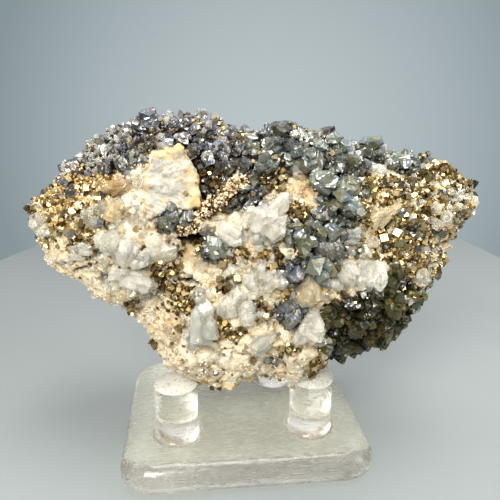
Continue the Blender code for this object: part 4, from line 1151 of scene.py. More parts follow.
def sphalerite_material(colours, groups):
    material, tree, shader = new_material("sphalerite_faces", IOR=SPHALERITE_IOR)
    where = object_coordinates(tree)
    tone = attribute(tree, "tone")
    tint = attribute(tree, "tint")
    facet = attribute(tree, "facet")
    blue = mix_colour(tree, tone, tuple(colours.dark), BLUE_PALE)
    green = mix_colour(tree, tone, GREEN_DARK, GREEN_PALE)
    olive = mix_colour(tree, tone, OLIVE_DARK, OLIVE_PALE)
    colour = mix_colour(tree, ramp(tree, tint, 0.0, 0.5), blue, green)
    colour = mix_colour(tree, ramp(tree, tint, 0.5, 1.0), colour, olive)
    # Random faces get a painted sheen of warm or cool colour
    colour = mix_colour(tree, ramp(tree, facet, 0.62, 0.80), colour, WARM_FACE_SHEEN, "MULTIPLY")
    colour = mix_colour(tree, ramp(tree, facet, 0.38, 0.20), colour, COOL_FACE_SHEEN, "MULTIPLY")
    frost = times(tree, patches(tree, where, 1.2, 0.52, 0.68, 3.0, 0.6),
                  ramp(tree, tint, 1.1, 0.4))
    colour = tinted(tree, colour, frost, 0.4, FROSTED)
    colour = tinted(tree, colour, patches(tree, where, 2.6, 0.54, 0.66, 4.0, 0.7), 0.5,
                    BROWN_DUST)
    rough = summed(tree, 0.10, (frost, 0.30), (ramp(tree, tint, 0.1, 0.5), 0.10), (facet, 0.15))
    ripples = bump(tree, noise_value(tree, where, 0.5 * MM, 2.0, 0.6), 0.25, 0.12 * MM)
    steps = maths(tree, "FRACT", times(tree, noise_value(tree, where, 2 * MM, 1), 9.0))
    join_up(tree, shader, colour, rough, bump(tree, steps, 0.45, 0.16 * MM, ripples))
    return material


# Pyrite at its brightest: brassy colour and painted highlight
BRIGHT_GOLD_AND_HIGHLIGHT = (0.86, 0.74, 0.44)


def pyrite_material(colours, groups):
    material, tree, shader = new_material("pyrite_faces", Metallic=1.0)
    where = object_coordinates(tree)
    gold = tuple(colours.gold)
    # The brown is partly tarnish and partly painted shade on the crystals' dark sides; the
    # brightest tones are partly painted highlights
    brown = shaded(gold, (0.24, 0.20, 0.15))
    tone = attribute(tree, "tone")
    colour = mix_colour(tree, ramp(tree, tone, 0.1, 0.7), brown, gold)
    colour = mix_colour(tree, ramp(tree, tone, 0.8, 1.0), colour, BRIGHT_GOLD_AND_HIGHLIGHT)
    colour = tinted(tree, colour, patches(tree, where, 2.0, 0.50, 0.70, 2.0), 0.5, brown)
    stripes = bump(tree, noise_value(tree, where, 0.2 * MM, 1.0), 0.25, 0.08 * MM)
    join_up(tree, shader, colour, summed(tree, 0.28, (attribute(tree, "facet"), 0.22)), stripes)
    return material


QUARTZ_BROWN = (0.60, 0.42, 0.18)
QUARTZ_CREAM = (0.84, 0.72, 0.48)
QUARTZ_GREY = (0.64, 0.65, 0.61)
# Painted shade laid over random faces
QUARTZ_FACET_SHADE = (0.50, 0.51, 0.46)
QUARTZ_VEIL = (0.96, 0.95, 0.91)
QUARTZ_DUST = (0.82, 0.72, 0.52)
QUARTZ_IOR = 1.544
QUARTZ_LIGHT = (0.58, 0.58, 0.53)


def quartz_material(colours, groups):
    material, tree, shader = new_material("milky_crystal", IOR=QUARTZ_IOR,
                                          Transmission_Weight=0.74)
    where = object_coordinates(tree)
    tint = attribute(tree, "tint")
    facet = attribute(tree, "facet")
    colour = mix_colour(tree, ramp(tree, tint, 0.0, 0.25), QUARTZ_BROWN, QUARTZ_CREAM)
    colour = mix_colour(tree, ramp(tree, tint, 0.25, 0.5), colour, tuple(colours.quartz))
    colour = mix_colour(tree, ramp(tree, tint, 0.75, 1.0), colour, QUARTZ_GREY)
    # Random faces are painted darker as painted shade, so that the facets differ
    colour = tinted(tree, colour, ramp(tree, facet, 0.35, 0.95), 0.5, QUARTZ_FACET_SHADE)
    veil = patches(tree, where, 2.0, 0.45, 0.58, 3.0, 0.65)
    colour = tinted(tree, colour, veil, 0.4, QUARTZ_VEIL)
    dusty = patches(tree, where, 3.2, 0.52, 0.64, 3.0, 0.6)
    colour = tinted(tree, colour, dusty, 0.3, QUARTZ_DUST)
    ripples = bump(tree, noise_value(tree, where, 1.2 * MM, 1.0, 0.5), 0.22, 0.3 * MM)
    join_up(tree, shader, colour, summed(tree, 0.03, (facet, 0.18)), ripples)
    let_light_in(tree, shader, QUARTZ_LIGHT)
    return material


GRAIN_PALE = (0.90, 0.84, 0.70)
GRAIN_CHALK = (0.80, 0.74, 0.64)


def grain_material(colours, groups):
    material, tree, shader = new_material("pale_grains", Specular_IOR_Level=0.6)
    where = object_coordinates(tree)
    tone = attribute(tree, "tone")
    colour = mix_colour(tree, tone, shaded(colours.cream, (0.95, 0.85, 0.75)), GRAIN_PALE)
    colour = mix_colour(tree, attribute(tree, "tint"), colour, tuple(colours.stain))
    colour = mix_colour(tree, patches(tree, where, 0.5, 0.45, 0.75, 2.0), colour, GRAIN_CHALK)
    fine = bump(tree, noise_value(tree, where, 0.25 * MM, 2.0), 0.5, 0.12 * MM)
    join_up(tree, shader, colour, summed(tree, 0.75, (tone, -0.4)), fine)
    return material


# Scratches of the acrylic: the usual length in mm, then the ways they run (radians) and the
# share of that length
SCRATCH_SIZE = 9
SCRATCHES = ((0.4, 0.5), (1.3, 0.7), (2.2, 0.6), (2.8, 0.9))
ACRYLIC_IOR = 1.49
ACRYLIC_LIGHT = (0.90, 0.90, 0.86)
SAWN_DARK, SAWN_PALE = (0.60, 0.58, 0.50), (0.86, 0.86, 0.84)


def scratch_group():
    """Fine straight scratches in several directions, as a height."""
    group, inlet, outlet = new_group(
        "Scratches", [("Vector", "NodeSocketVector", None)], [("Height", "NodeSocketFloat")])
    lines = None
    for turn, size in SCRATCHES:
        mapping = group.nodes.new("ShaderNodeMapping")
        mapping.inputs["Rotation"].default_value = (0.3, 0.2, turn)
        mapping.inputs["Scale"].default_value = (1.0, 22.0, 6.0)
        group.links.new(inlet.outputs["Vector"], mapping.inputs["Vector"])
        line = patches(group, mapping.outputs["Vector"], SCRATCH_SIZE * size, 0.66, 0.74, 1.0)
        lines = line if lines is None else maths(group, "MAXIMUM", lines, line)
    group.links.new(lines, outlet.inputs["Height"])
    return group


def acrylic_material(colours, groups):
    material, tree, shader = new_material("scratched_acrylic", IOR=ACRYLIC_IOR,
                                          Transmission_Weight=0.95,
                                          Base_Color=tuple(colours.acrylic))
    where = object_coordinates(tree)
    scratches = use_group(tree, groups["scratches"], vector=where).outputs["Height"]
    rough = summed(tree, 0.08, (patches(tree, where, 9, 0.45, 0.75), 0.12), (scratches, 0.30))
    waves = bump(tree, noise_value(tree, where, 7 * MM, 1.0), 0.12, 0.5 * MM)
    join_up(tree, shader, rough=rough, normal=bump(tree, scratches, 0.25, 0.05 * MM, waves))
    let_light_in(tree, shader, ACRYLIC_LIGHT)
    return material


def sawn_material(colours, groups):
    material, tree, shader = new_material("sawn_acrylic", IOR=ACRYLIC_IOR,
                                          Transmission_Weight=0.35)
    pits = noise_value(tree, object_coordinates(tree), 0.8 * MM, 3.0, 0.7)
    colour = mix_colour(tree, ramp(tree, pits, 0.35, 0.6), SAWN_DARK, SAWN_PALE)
    join_up(tree, shader, colour, ramp(tree, pits, 0.0, 1.4), bump(tree, pits, 0.9, 0.3 * MM))
    return material


# What the operators share, filled by prepare_kit
KIT = {}


def prepare_kit():
    """Shapes, shader groups, materials and surfaces that the operators share."""
    noise.seed_set(NOISE_SEED)
    colours = bpy.context.scene.specimen_colours
    groups = {"mottle": mottle_group(), "sugar": sugar_group(), "scratches": scratch_group()}
    makers = {
        "rock": rock_material, "plate": plate_material, "dark": sphalerite_material,
        "gold": pyrite_material, "quartz": quartz_material, "grain": grain_material,
        "acrylic": acrylic_material, "sawn": sawn_material,
    }
    KIT["materials"] = {key: maker(colours, groups) for key, maker in makers.items()}
    olive = KIT["materials"]["dark"].copy()
    olive.name = "olive_sphalerite_faces"
    olive.node_tree.nodes["Principled BSDF"].inputs["IOR"].default_value = OLIVE_IOR
    KIT["materials"]["olive"] = olive
    KIT["shapes"] = make_shapes()
    KIT["solid"] = Surface(*node_arrays("rock"))
    KIT["grown"] = []


# The rock and the plate

# Sizes in mm: the rock's lumps, the ledges of its back, the joints between its clumps
LUMP_SIZES = (3.6, 1.9, 0.95)
LEDGE_PITCH, LEDGE_HEIGHT = 6.5, 1.5
CREVICE_PITCH, CREVICE_DEPTH = 5.5, 1.3
CREVICE_WIDTH = 0.13
CRACK_WOBBLE = (2.0, 0.5, 3.5)
# Depths that the face's relief fades out to and that the ledges start at
FACE_FADE = 8.0
LEDGE_START = 6.0
# Room beside and above the posts' tops that the rock's relief keeps off
SEAT_SIDE, SEAT_RISE = 0.6, 1.6
# Distance between the plate's modelled points
PLATE_DETAIL = 0.32
# Fine ribs of the plate: radians a mm across them, the way across (u, v) and their height
RIB_TURN, RIB_WAY, RIB_HEIGHT = 5.2, (0.35, 0.94), 0.09


def voxel_copy(name, node, detail):
    """A finer closed copy of a CAD node's solid, with evenly spaced points."""
    bm = bmesh.new()
    bm.from_mesh(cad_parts[node].data)
    bmesh.ops.remove_doubles(bm, verts=bm.verts, dist=0.005 * MM)
    thing = placed(name, mesh_of(bm, name))
    remesh = thing.modifiers.new("Even points", "REMESH")
    remesh.mode = "VOXEL"
    remesh.voxel_size = detail
    smooth = thing.modifiers.new("Soften facets", "SMOOTH")
    smooth.factor = 0.5
    smooth.iterations = 6
    bpy.context.view_layer.update()
    fine = bpy.data.meshes.new_from_object(thing.evaluated_get(
        bpy.context.evaluated_depsgraph_get()))
    bpy.data.objects.remove(thing)
    fine.materials.clear()
    return fine


def lumps(points, height):
    """Sugary lumps at three sizes: a height in mm for each point."""
    broad, near, fine = LUMP_SIZES
    heights = [
        0.9 * noise.noise(place / broad) + 1.1 * (0.5 - noise.voronoi(place / near)[0][0])
        + 0.55 * (0.5 - noise.voronoi(place / fine)[0][0])
        for place in map(Vector, points.tolist())
    ]
    return np.array(heights) * height


def ledges(points):
    """Broken ledges across the back, about -0.5 to 0.5."""
    drift = crowding(points, 11.0, 5.0) * 9.0 + crowding(points, 3.5, 6.0) * 1.6
    steps = (points[:, 2] * 0.7 + points[:, 0] * 0.25 + drift) / LEDGE_PITCH
    return steps - np.floor(steps) - 0.5


def crevices(points):
    """1 along the joints between clumps of crystals and 0 on the clumps."""
    found = []
    for point in points.tolist():
        place = Vector(point) + noise.noise_vector(Vector(point) / 3.0) * 1.2
        near = noise.voronoi(place / CREVICE_PITCH)[0]
        found.append(math.exp(-((near[1] - near[0]) / CREVICE_WIDTH) ** 2))
    return np.array(found)


def seat_clearance(points):
    """0 over the posts' seats and 1 away from them, so that the seats stay as they are."""
    part = to_part(points) / MM
    clear = np.ones(len(points))
    for x, y in POST_PLACES.values():
        reach = np.hypot(part[:, 0] - x, part[:, 1] - y) - (POST_RADIUS + SEAT_SIDE)
        low = part[:, 2] - (POST_TOP + SEAT_RISE)
        clear = np.minimum(clear, np.clip(np.maximum(reach, low) / SEAT_RISE, 0, 1))
    return clear


class SPECIMEN_OT_break_rock(bpy.types.Operator):
    """Gives the rock its broken, sugary surface with hollows, cracks and stains"""
    bl_idname = "specimen.break_rock"
    bl_label = "Break the Rock"

    def execute(self, context):
        sizes = context.scene.specimen_sizes
        mesh = voxel_copy("rock_surface", "rock", sizes.rock_detail)
        points, triangles = mesh_arrays(mesh)
        seen = seen_at(points)
        height, hollow, cracked = self.relief(points, seen, sizes.lump_height / MM)
        moved = points + corner_normals(points, triangles) * height[:, None]
        mesh.vertices.foreach_set("co", to_part(moved).ravel())
        self.paint(mesh, points, wobble(seen, *RAGGED), hollow, cracked)
        mesh.shade_smooth()
        rock = finished("rock_surface", mesh, "cream_rock", KIT["materials"]["rock"])
        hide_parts("rock")
        KIT["rock"] = Surface(moved, triangles)
        KIT["grown"].append((moved, triangles, False))
        return {"FINISHED"}

    def relief(self, points, seen, lump_height):
        """How far (mm) each point moves out, and how hollow and how cracked the rock is there."""
        face = np.clip((FACE_FADE - points[:, 1]) / FACE_FADE, 0, 1)
        behind = np.clip((points[:, 1] - LEDGE_START) / LEDGE_START, 0, 1)
        quiet = spots(QUIET_SPOTS, seen)
        height = lumps(points, lump_height) * (0.55 + 0.45 * face)
        height += ledges(points) * LEDGE_HEIGHT * behind
        height *= 1 - 0.45 * quiet
        height -= crevices(points) * CREVICE_DEPTH * face * (1 - 0.7 * quiet)
        # How hollow the rock is, where shade is painted in
        hollow = np.clip((-height - 0.25) / 0.9, 0, 1)
        cracked = np.zeros(len(points))
        for path, half_width, depth in CRACKS:
            away = distance_to_path(path, wobble(seen, *CRACK_WOBBLE))
            near = np.exp(-(away / half_width) ** 2)
            cracked = np.maximum(cracked, near * face)
            height -= depth * near * face
        return height * seat_clearance(points), hollow, cracked

    def paint(self, mesh, points, ragged, hollow, cracked):
        """Writes where the rock is hollow, dark, gold, stained and milky. The hollows and cracks
        carry painted shade, and the dark and gold crusts partly painted shade between their
        crystals.
        """
        wrap = RIDGE_DEPTH + 7.0 * crowding(points, 5.0, 8.0)
        front = (points[:, 1] < wrap).astype(float)
        crusts = np.zeros(len(points), bool)
        for name in ("ridge_left", "ridge_right", "lower_right", "middle_dark", "fissure"):
            crusts |= inside(ZONES[name], ragged)
        # The gold crusts' rock is painted dark brown, partly as painted shade between their
        # crystals
        golds = inside(ZONES["right_end"], ragged) * (0.9 - 0.9 * spots(BARE_SPOTS, ragged))
        golds = np.maximum(golds, inside(ZONES["left_slope"], ragged) * 0.3)
        golds = np.maximum(golds, spots(GOLD_SPOTS, ragged, 1.0) * 0.7)
        # The rock under the dark crusts is painted near black, partly as painted shade between
        # their crystals, and the cracks as painted shade
        dark = np.maximum(crusts * 0.94, spots(DARK_SPOTS, ragged))
        dark = np.maximum(dark * front, np.clip(cracked * 1.6, 0, 1))
        back = 1.0 - np.clip((14.0 - points[:, 1]) / 10.0, 0, 1)
        rusty = np.clip(crowding(points, 9.0, 0.0) * 1.6, 0, 0.7)
        stain = np.maximum(spots(STAINS, ragged, 1.0) * front, back * rusty)
        set_values(mesh, "POINT", hollow=hollow, dark=dark, gold=golds * front, stain=stain,
                   milky=spots(MILKY_SPOTS, ragged) * front)


class SPECIMEN_OT_break_plate(bpy.types.Operator):
    """Gives the white plate its broken edges, ribs and yellow stained rim"""
    bl_idname = "specimen.break_plate"
    bl_label = "Break the White Plate"

    def execute(self, context):
        mesh = voxel_copy("white_plate", "quartz_plate", PLATE_DETAIL * MM)
        points, triangles = mesh_arrays(mesh)
        seen = seen_at(points)
        height = lumps(points * 1.2, 0.5) + 0.9 * crowding(points, 3.0, 7.0)
        ribs = np.clip((56.0 - seen[:, 1]) / 4.0, 0, 1) * np.clip((-17.0 - seen[:, 0]) / 3.0, 0, 1)
        wave = np.sin((seen[:, 0] * RIB_WAY[0] + seen[:, 1] * RIB_WAY[1]) * RIB_TURN)
        height = height * (1 - 0.5 * ribs) + RIB_HEIGHT * wave * ribs
        # How hollow the plate is, where shade is painted in
        hollow = np.clip(-height / 0.5, 0, 1)
        moved = points + corner_normals(points, triangles) * height[:, None]
        mesh.vertices.foreach_set("co", to_part(moved).ravel())
        right = np.clip((seen[:, 0] + 18.5) / 4.0, 0, 1)
        top = np.clip((seen[:, 1] - 63.5) / 3.5, 0, 1)
        left = np.clip((-26.8 - seen[:, 0]) / 1.5, 0, 1) * 0.7
        set_values(mesh, "POINT", hollow=hollow, edge=np.maximum.reduce([right, top, left]))
        mesh.shade_smooth()
        plate = finished("white_plate", mesh, "white_quartz_vein", KIT["materials"]["plate"])
        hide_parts("quartz_plate")
        KIT["grown"].append((moved, triangles, False))
        return {"FINISHED"}


# Crystals


def seats_for(rows):
    """Points, normals, sizes and tones on the bare rock for rows of u, v, size and tone."""
    seats = [KIT["solid"].seat(u, v) for u, v, _, _ in rows]
    points = np.array([tuple(point) for point, _ in seats])
    normals = np.array([tuple(normal) for _, normal in seats])
    return points, normals, np.array([r[2] for r in rows]), np.array([r[3] for r in rows])


def one_heap(name, slot, material, kind, places, draw, rise, tones, tints, stand=None):
    """A piece of one kind of small crystals or grains, at places from spread or outer_places."""
    heap = Heap()
    heap.scatter(KIT["shapes"][kind], *places, draw, rise, tones, tints, stand)
    heap.build(name, slot, KIT["materials"][material])


def set_cubes(heap, rows, draw):
    """Adds single pyrite cubes at their places on the rock."""
    points, normals, widths, _ = seats_for([(*row, 1.0) for row in rows])
    heap.scatter(KIT["shapes"]["gold"][:1], points, normals, widths, draw, 0.45, 0.5, 0.0)


def ridge_tint(points):
    """Blue at the left of the ridge, grey green at the right."""
    return np.clip((points[:, 0] + 4.0) / 10.0, 0, 1) * 0.5


def olive_tint(points):
    """Olive all over, as at the lower right."""
    return np.full(len(points), 1.0)


def mixed_tint(points):
    """A mix from grey green to olive, as in the small groups."""
    return 0.45 + 0.4 * np.cos(points[:, 0] * 3.1)


def grow_dark_crust(node, weights, singles, tint, seed, layers, paleness=1.0, material="dark"):
    """A crust of dark crystals: the ones that stand out, then smaller and smaller between."""
    draw = np.random.default_rng(seed)
    grain = bpy.context.scene.specimen_sizes.dark_grain / MM
    shapes = KIT["shapes"]
    heap = Heap()
    points, normals, sizes, tones = seats_for(singles)
    heap.scatter(shapes["dark_large"], points, normals, sizes * 0.9, draw, 0.30, tones,
                 tint(points))
    for share in DARK_BESIDE:
        beside = points + draw.normal(size=points.shape) * (sizes * 0.27)[:, None]
        shift = draw.uniform(-0.2, 0.2, len(tones))
        heap.scatter(shapes["dark"], beside, normals, sizes * share, draw, 0.42,
                     np.clip(tones + shift, 0, 1), tint(points))
    for points, normals, sizes, rise in layered(KIT["rock"], weights, layers, grain, draw):
        lift = crowding(points, 5.5, 3.0)
        points = points + normals * (lift * 3.0)[:, None]
        pale = np.where(points[:, 0] < -4.0, 1.7, 2.2)
        # Crystals that sit lower are painted darker and those that stand out paler, as painted
        # shade; beyond that their tone is random
        tones = draw.random(len(points)) ** pale * np.clip(0.8 + lift * 2.5, 0.1, 1.3) * paleness
        heap.scatter(shapes["dark"], points, normals, sizes, draw, rise, tones, tint(points))
    piece = heap.build(node + "_crystals", "sphalerite", KIT["materials"][material])
    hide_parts(node)
    KIT["grown"].append((*heap.arrays(), False))


class SPECIMEN_OT_grow_sphalerite(bpy.types.Operator):
    """Grows the dark crusts along the top and lower right, and the small dark groups"""
    bl_idname = "specimen.grow_sphalerite"
    bl_label = "Grow Sphalerite"

    def execute(self, context):
        rock = KIT["rock"]
        ridge = (rock.zone("ridge_left") | rock.zone("ridge_right")) & rock.before(RIDGE_DEPTH)
        ridge = ridge.astype(float) * ~rock.zone("fissure")
        ridge *= distance_to_path(RIM_PATH, rock.ragged) > 1.5
        grow_dark_crust("sphalerite_ridge", ridge, RIDGE_CRYSTALS, ridge_tint, SEEDS["ridge"],
                        RIDGE_LAYERS)
        lower = (rock.zone("lower_right") & rock.before(CRUST_DEPTH)).astype(float)
        grow_dark_crust("sphalerite_lower_right", lower, LOWER_RIGHT_CRYSTALS, olive_tint,
                        SEEDS["lower_right"], LOWER_RIGHT_LAYERS, 0.6, "olive")
        for index, (node, rows) in enumerate(DARK_GROUPS.items()):
            spots_here = [(u, v, size * 0.7, size * 0.7, 1.0) for u, v, size, _ in rows]
            weights = (spots(spots_here, rock.seen) > 0.5) * rock.front * 1.0
            if node == "sphalerite_middle":
                weights = np.maximum(weights, rock.zone("middle_dark") * rock.front * 0.7)
            grow_dark_crust(node, weights, rows, mixed_tint, SEEDS["dark_groups"] + index,
                            GROUP_LAYERS, 0.5)
        return {"FINISHED"}


def quartz_axis(point, way, lying):
    """The way a crystal points, from its angles on the face and away from the line of sight."""
    sight = (Vector(SIGHT_POINT) - point).normalized()
    side = Vector((1, 0, 0))
    up = sight.cross(side).normalized()
    if up.z < 0:
        up = -up
    across = side * math.sin(math.radians(way)) + up * math.cos(math.radians(way))
    lean = math.radians(lying)
    return sight * math.cos(lean) + across * math.sin(lean)


def quartz_bundle(heap, row, tint, draw):
    """One main crystal with smaller ones grown beside it, nearly side by side."""
    u, v, width, length, way, lying = row
    width, length = width * QUARTZ_SHARE, length * QUARTZ_SHARE
    point, normal = KIT["solid"].seat(u, v)
    axis = quartz_axis(point, way, lying)
    lean = math.radians(lying)
    centre = point + normal * width * (0.5 * math.sin(lean) - 0.20)
    centre += axis * length * 0.22 * math.cos(lean)
    axis, centre = np.array(axis), np.array(centre)
    count = QUARTZ_BESIDE + 1
    along = np.tile(axis, (count, 1))
    turns = standing_turns(along, 0.0, draw)
    turns[1:] = standing_turns(along[1:], 0.2, draw)
    share = np.concatenate([[1.0], draw.uniform(0.35, 0.62, QUARTZ_BESIDE)])
    reach = np.concatenate([[1.0], draw.uniform(0.45, 0.85, QUARTZ_BESIDE)])
    angles = draw.uniform(0, math.tau) + np.arange(count) * 2.3
    out = (turns[0][:, 0] * np.cos(angles)[:, None] + turns[0][:, 1] * np.sin(angles)[:, None])
    apart = np.concatenate([[0.0], draw.uniform(0.30, 0.46, QUARTZ_BESIDE)]) * width
    back = (1 - reach) * length * draw.uniform(0.2, 0.5, count)
    places = centre + out * apart[:, None] - axis * back[:, None]
    tall = length * reach / (width * share)
    shapes = KIT["shapes"]["quartz_large"]
    nearest = np.abs(tall[:, None] - np.array(QUARTZ_HEIGHTS)).argmin(axis=1)
    which = nearest * 2 + draw.integers(2, size=count)
    stretch = length * reach / np.array(QUARTZ_HEIGHTS)[nearest]
    scale = np.stack([width * share, width * share, stretch], axis=1)
    turns = turns * scale[:, None, :]
    tones = draw.random(count)
    for index, shape in enumerate(shapes):
        pick = which == index
        heap.add(shape, turns[pick], places[pick], tones[pick], tint)


class SPECIMEN_OT_grow_quartz(bpy.types.Operator):
    """Grows the quartz groups and the small milky crystals between them"""
    bl_idname = "specimen.grow_quartz"
    bl_label = "Grow Quartz"

    def execute(self, context):
        rock = KIT["rock"]
        for index, (node, (tint, rows)) in enumerate(QUARTZ.items()):
            draw = np.random.default_rng(SEEDS["quartz"] + index)
            heap = Heap()
            for row in rows:
                quartz_bundle(heap, row, QUARTZ_TINTS[tint], draw)
            piece = heap.build(node + "_crystals", "milky_quartz", KIT["materials"]["quartz"])
            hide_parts(node)
            KIT["grown"].append((*heap.arrays(), True))
        self.grow_small(rock)
        self.grow_frost(rock)
        return {"FINISHED"}

    def grow_small(self, rock):
        """Small milky crystals between the groups."""
        draw = np.random.default_rng(SEEDS["small_quartz"])
        open_face = rock.front.astype(float)
        for name in ("ridge_left", "ridge_right", "lower_right", "plate", "fissure", "hollow"):
            open_face *= ~rock.zone(name)
        open_face *= np.where(rock.zone("left_slope") | rock.zone("right_end"), 0.25, 1.0)
        flank = np.clip((rock.seen[:, 1] - 8.0) / 14.0, 0.25, 1.0)
        weights = open_face * flank * (0.12 + spots(MILKY_SPOTS, rock.ragged))
        heap = Heap()
        for points, normals, sizes, rise in layered(rock, weights, QUARTZ_LAYERS, 1.0, draw):
            tones = draw.random(len(points))
            tints = draw.choice([0.25, 0.5, 0.5, 0.75, 0.75, 1.0], size=len(points))
            heap.scatter(KIT["shapes"]["quartz"], points, normals, sizes, draw, rise, tones,
                         tints, stand=0.55)
        heap.build("small_quartz_crystals", "milky_quartz", KIT["materials"]["quartz"])
        KIT["grown"].append((*heap.arrays(), True))

    def grow_frost(self, rock):
        """Whitish crystals on top of the dark ones."""
        draw = np.random.default_rng(SEEDS["frost"])
        frost = spots(FROST_SPOTS, rock.ragged) * rock.before(5.0)
        places = outer_places(rock, frost, 2600, 0.8, 2.4, 0.75, draw, high=1.0)
        tints = np.where(places[0][:, 0] > 30.0, 0.5, 1.0)
        one_heap("frost_crystals", "milky_quartz", "quartz", "quartz", places, draw, 0.15,
                 draw.random(len(tints)), tints, stand=0.8)


def grown_surface():
    """All that has grown so far as one surface, and which of its triangles are quartz."""
    corners, triangles, quartz, total = [], [], [], 0
    for points, faces, is_quartz in KIT["grown"]:
        corners.append(points)
        triangles.append(faces + total)
        quartz.append(np.full(len(faces), is_quartz))
        total += len(points)
    surface = Surface(np.concatenate(corners), np.concatenate(triangles))
    return surface, np.concatenate(quartz)


def outer_places(rock, weights, count, small, large, apart, draw, high=0.2):
    """Places on top of all that grows, found by looking in from outside the rock.

    Few are on quartz or high on a crust, because specks grow between the crystals.
    """
    surface, quartz = grown_surface()
    points, normals, sizes = spread(rock, weights, count, small, large, apart, draw)
    found, ways, kept = [], [], []
    for index, (point, normal) in enumerate(zip(points, normals)):
        out = Vector(normal)
        hit, way, face, depth = surface.tree.ray_cast(Vector(point) + out * 9.0, -out, 9.5)
        if hit is None:
            hit, way = Vector(point), out
        elif draw.random() > (0.05 if quartz[face] else high if depth < 7.0 else 1.0):
            continue
        found.append(tuple(hit))
        ways.append(tuple(way if way.dot(out) > 0 else -way))
        kept.append(index)
    return np.array(found).reshape(-1, 3), np.array(ways).reshape(-1, 3), sizes[kept]


class SPECIMEN_OT_grow_pyrite(bpy.types.Operator):
    """Grows the gold crusts at both ends, the pale ridge by the plate and the gold specks"""
    bl_idname = "specimen.grow_pyrite"
    bl_label = "Grow Pyrite"

    def execute(self, context):
        sizes = context.scene.specimen_sizes
        grain = sizes.gold_grain / MM
        for row in GOLD_CRUSTS:
            self.grow_crust(KIT["rock"], grain, *row)
        self.grow_rim(grain)
        self.grow_specks(KIT["rock"], grain, sizes.gold_count)
        return {"FINISHED"}

    def grow_crust(self, rock, grain, node, zone, sparse, side):
        """The gold crust at one end."""
        seed = SEEDS[zone]
        draw = np.random.default_rng(seed)
        weights = (rock.zone(zone) & rock.before(CRUST_DEPTH)).astype(float)
        weights *= np.clip(crowding(rock.middles, 3.6, seed) * 5 + 0.8 - 2 * sparse, 0.05, 1.0)
        weights *= 1.0 - 0.95 * spots(STAINS, rock.ragged)
        weights *= rock.worn(0.03)
        heap = Heap()
        set_cubes(heap, [row for row in GOLD_CUBES if row[0] * side > CUBE_SIDE], draw)
        for points, normals, widths, rise in layered(rock, weights, GOLD_LAYERS, grain, draw,
                                                     1.0 - 2.6 * sparse):
            tones = np.clip(draw.random(len(points)) ** 0.8 + 0.5 * sparse, 0, 1)
            heap.scatter(KIT["shapes"]["gold"], points, normals, widths, draw, rise, tones, 0.0)
        piece = heap.build(node + "_crystals", "pyrite", KIT["materials"]["gold"])
        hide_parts(node)
        KIT["grown"].append((*heap.arrays(), False))

    def grow_rim(self, grain):
        """The pale ridge by the plate: gold crystals with pale grains between them."""
        draw = np.random.default_rng(SEEDS["rim"])
        solid = Surface(*node_arrays("pyrite_rim"))
        gold, pale = Heap(), Heap()
        even = np.ones(len(solid.areas))
        for points, normals, widths, rise in layered(solid, even, RIM_LAYERS, grain, draw):
            shining = draw.random(len(points)) < 0.22
            tones = 0.4 * draw.random(len(points))
            for heap, kind, pick, tint in ((gold, "gold", shining, 0.0),
                                           (pale, "grain", ~shining, 0.36)):
                heap.scatter(KIT["shapes"][kind], points[pick], normals[pick], widths[pick],
                             draw, rise, tones[pick], tint)
        for name, heap, kind in (("pyrite_rim_crystals", gold, "gold"),
                                 ("pyrite_rim_pale_grains", pale, "grain")):
            piece = heap.build(name, "pyrite", KIT["materials"][kind])
            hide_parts("pyrite_rim")
            KIT["grown"].append((*heap.arrays(), False))

    def grow_specks(self, rock, grain, count):
        """Gold specks all over, denser groups of them, and the single cubes between."""
        draw = np.random.default_rng(SEEDS["gold_specks"])
        shapes = KIT["shapes"]["gold"]
        golden = spots(GOLD_SPOTS, rock.ragged, 1.0)
        weights = golden ** 2
        for name, share in SPECK_SHARES.items():
            weights = np.maximum(weights, rock.zone(name) * share)
        weights *= np.where(rock.seen[:, 1] < 10.0, 0.4, 1.0)
        weights = np.maximum(weights, 0.02) * rock.before(SPECK_DEPTH)
        weights *= np.where(rock.zone("ridge_right"), 0.6, 1.0)
        weights *= rock.worn(0.06)
        weights *= np.where(rock.zone("plate"), 0.05, 1.0)
        weights *= np.where(inside(QUIET_FLANK, rock.seen), 0.04, 1.0)
        weights *= np.clip(crowding(rock.middles, 3.2, 4.0) * 8, 0.01, 1.0)
        weights = np.maximum(weights, self.behind(rock))
        points, normals, widths = outer_places(rock, weights, count, 0.5 * grain, 1.35 * grain,
                                               0.95, draw)
        heap = Heap()
        tones = draw.random(len(points)) * 0.9
        heap.scatter(shapes, points, normals, widths, draw, 0.2, tones, 0.0)
        groups = np.clip(golden * 1.7 - 0.5, 0, 1) * rock.front * ~rock.zone("hollow")
        for points, normals, widths, rise in layered(rock, groups, SPOT_LAYERS, grain, draw):
            tones = draw.random(len(points)) ** 1.4 * 0.85
            heap.scatter(shapes, points, normals, widths, draw, rise, tones, 0.0)
        set_cubes(heap, [row for row in GOLD_CUBES if abs(row[0]) <= CUBE_SIDE], draw)
        heap.build("pyrite_specks", "pyrite", KIT["materials"]["gold"])

    def behind(self, rock):
        """A few gold patches on the plain back."""
        patches = np.clip(crowding(rock.middles, 9.0, 12.0) * 5 - 0.9, 0.0, 1.0)
        patches *= np.clip(crowding(rock.middles, 2.6, 14.0) * 6, 0.0, 1.0)
        return patches * ~rock.before(SPECK_DEPTH) * 0.6


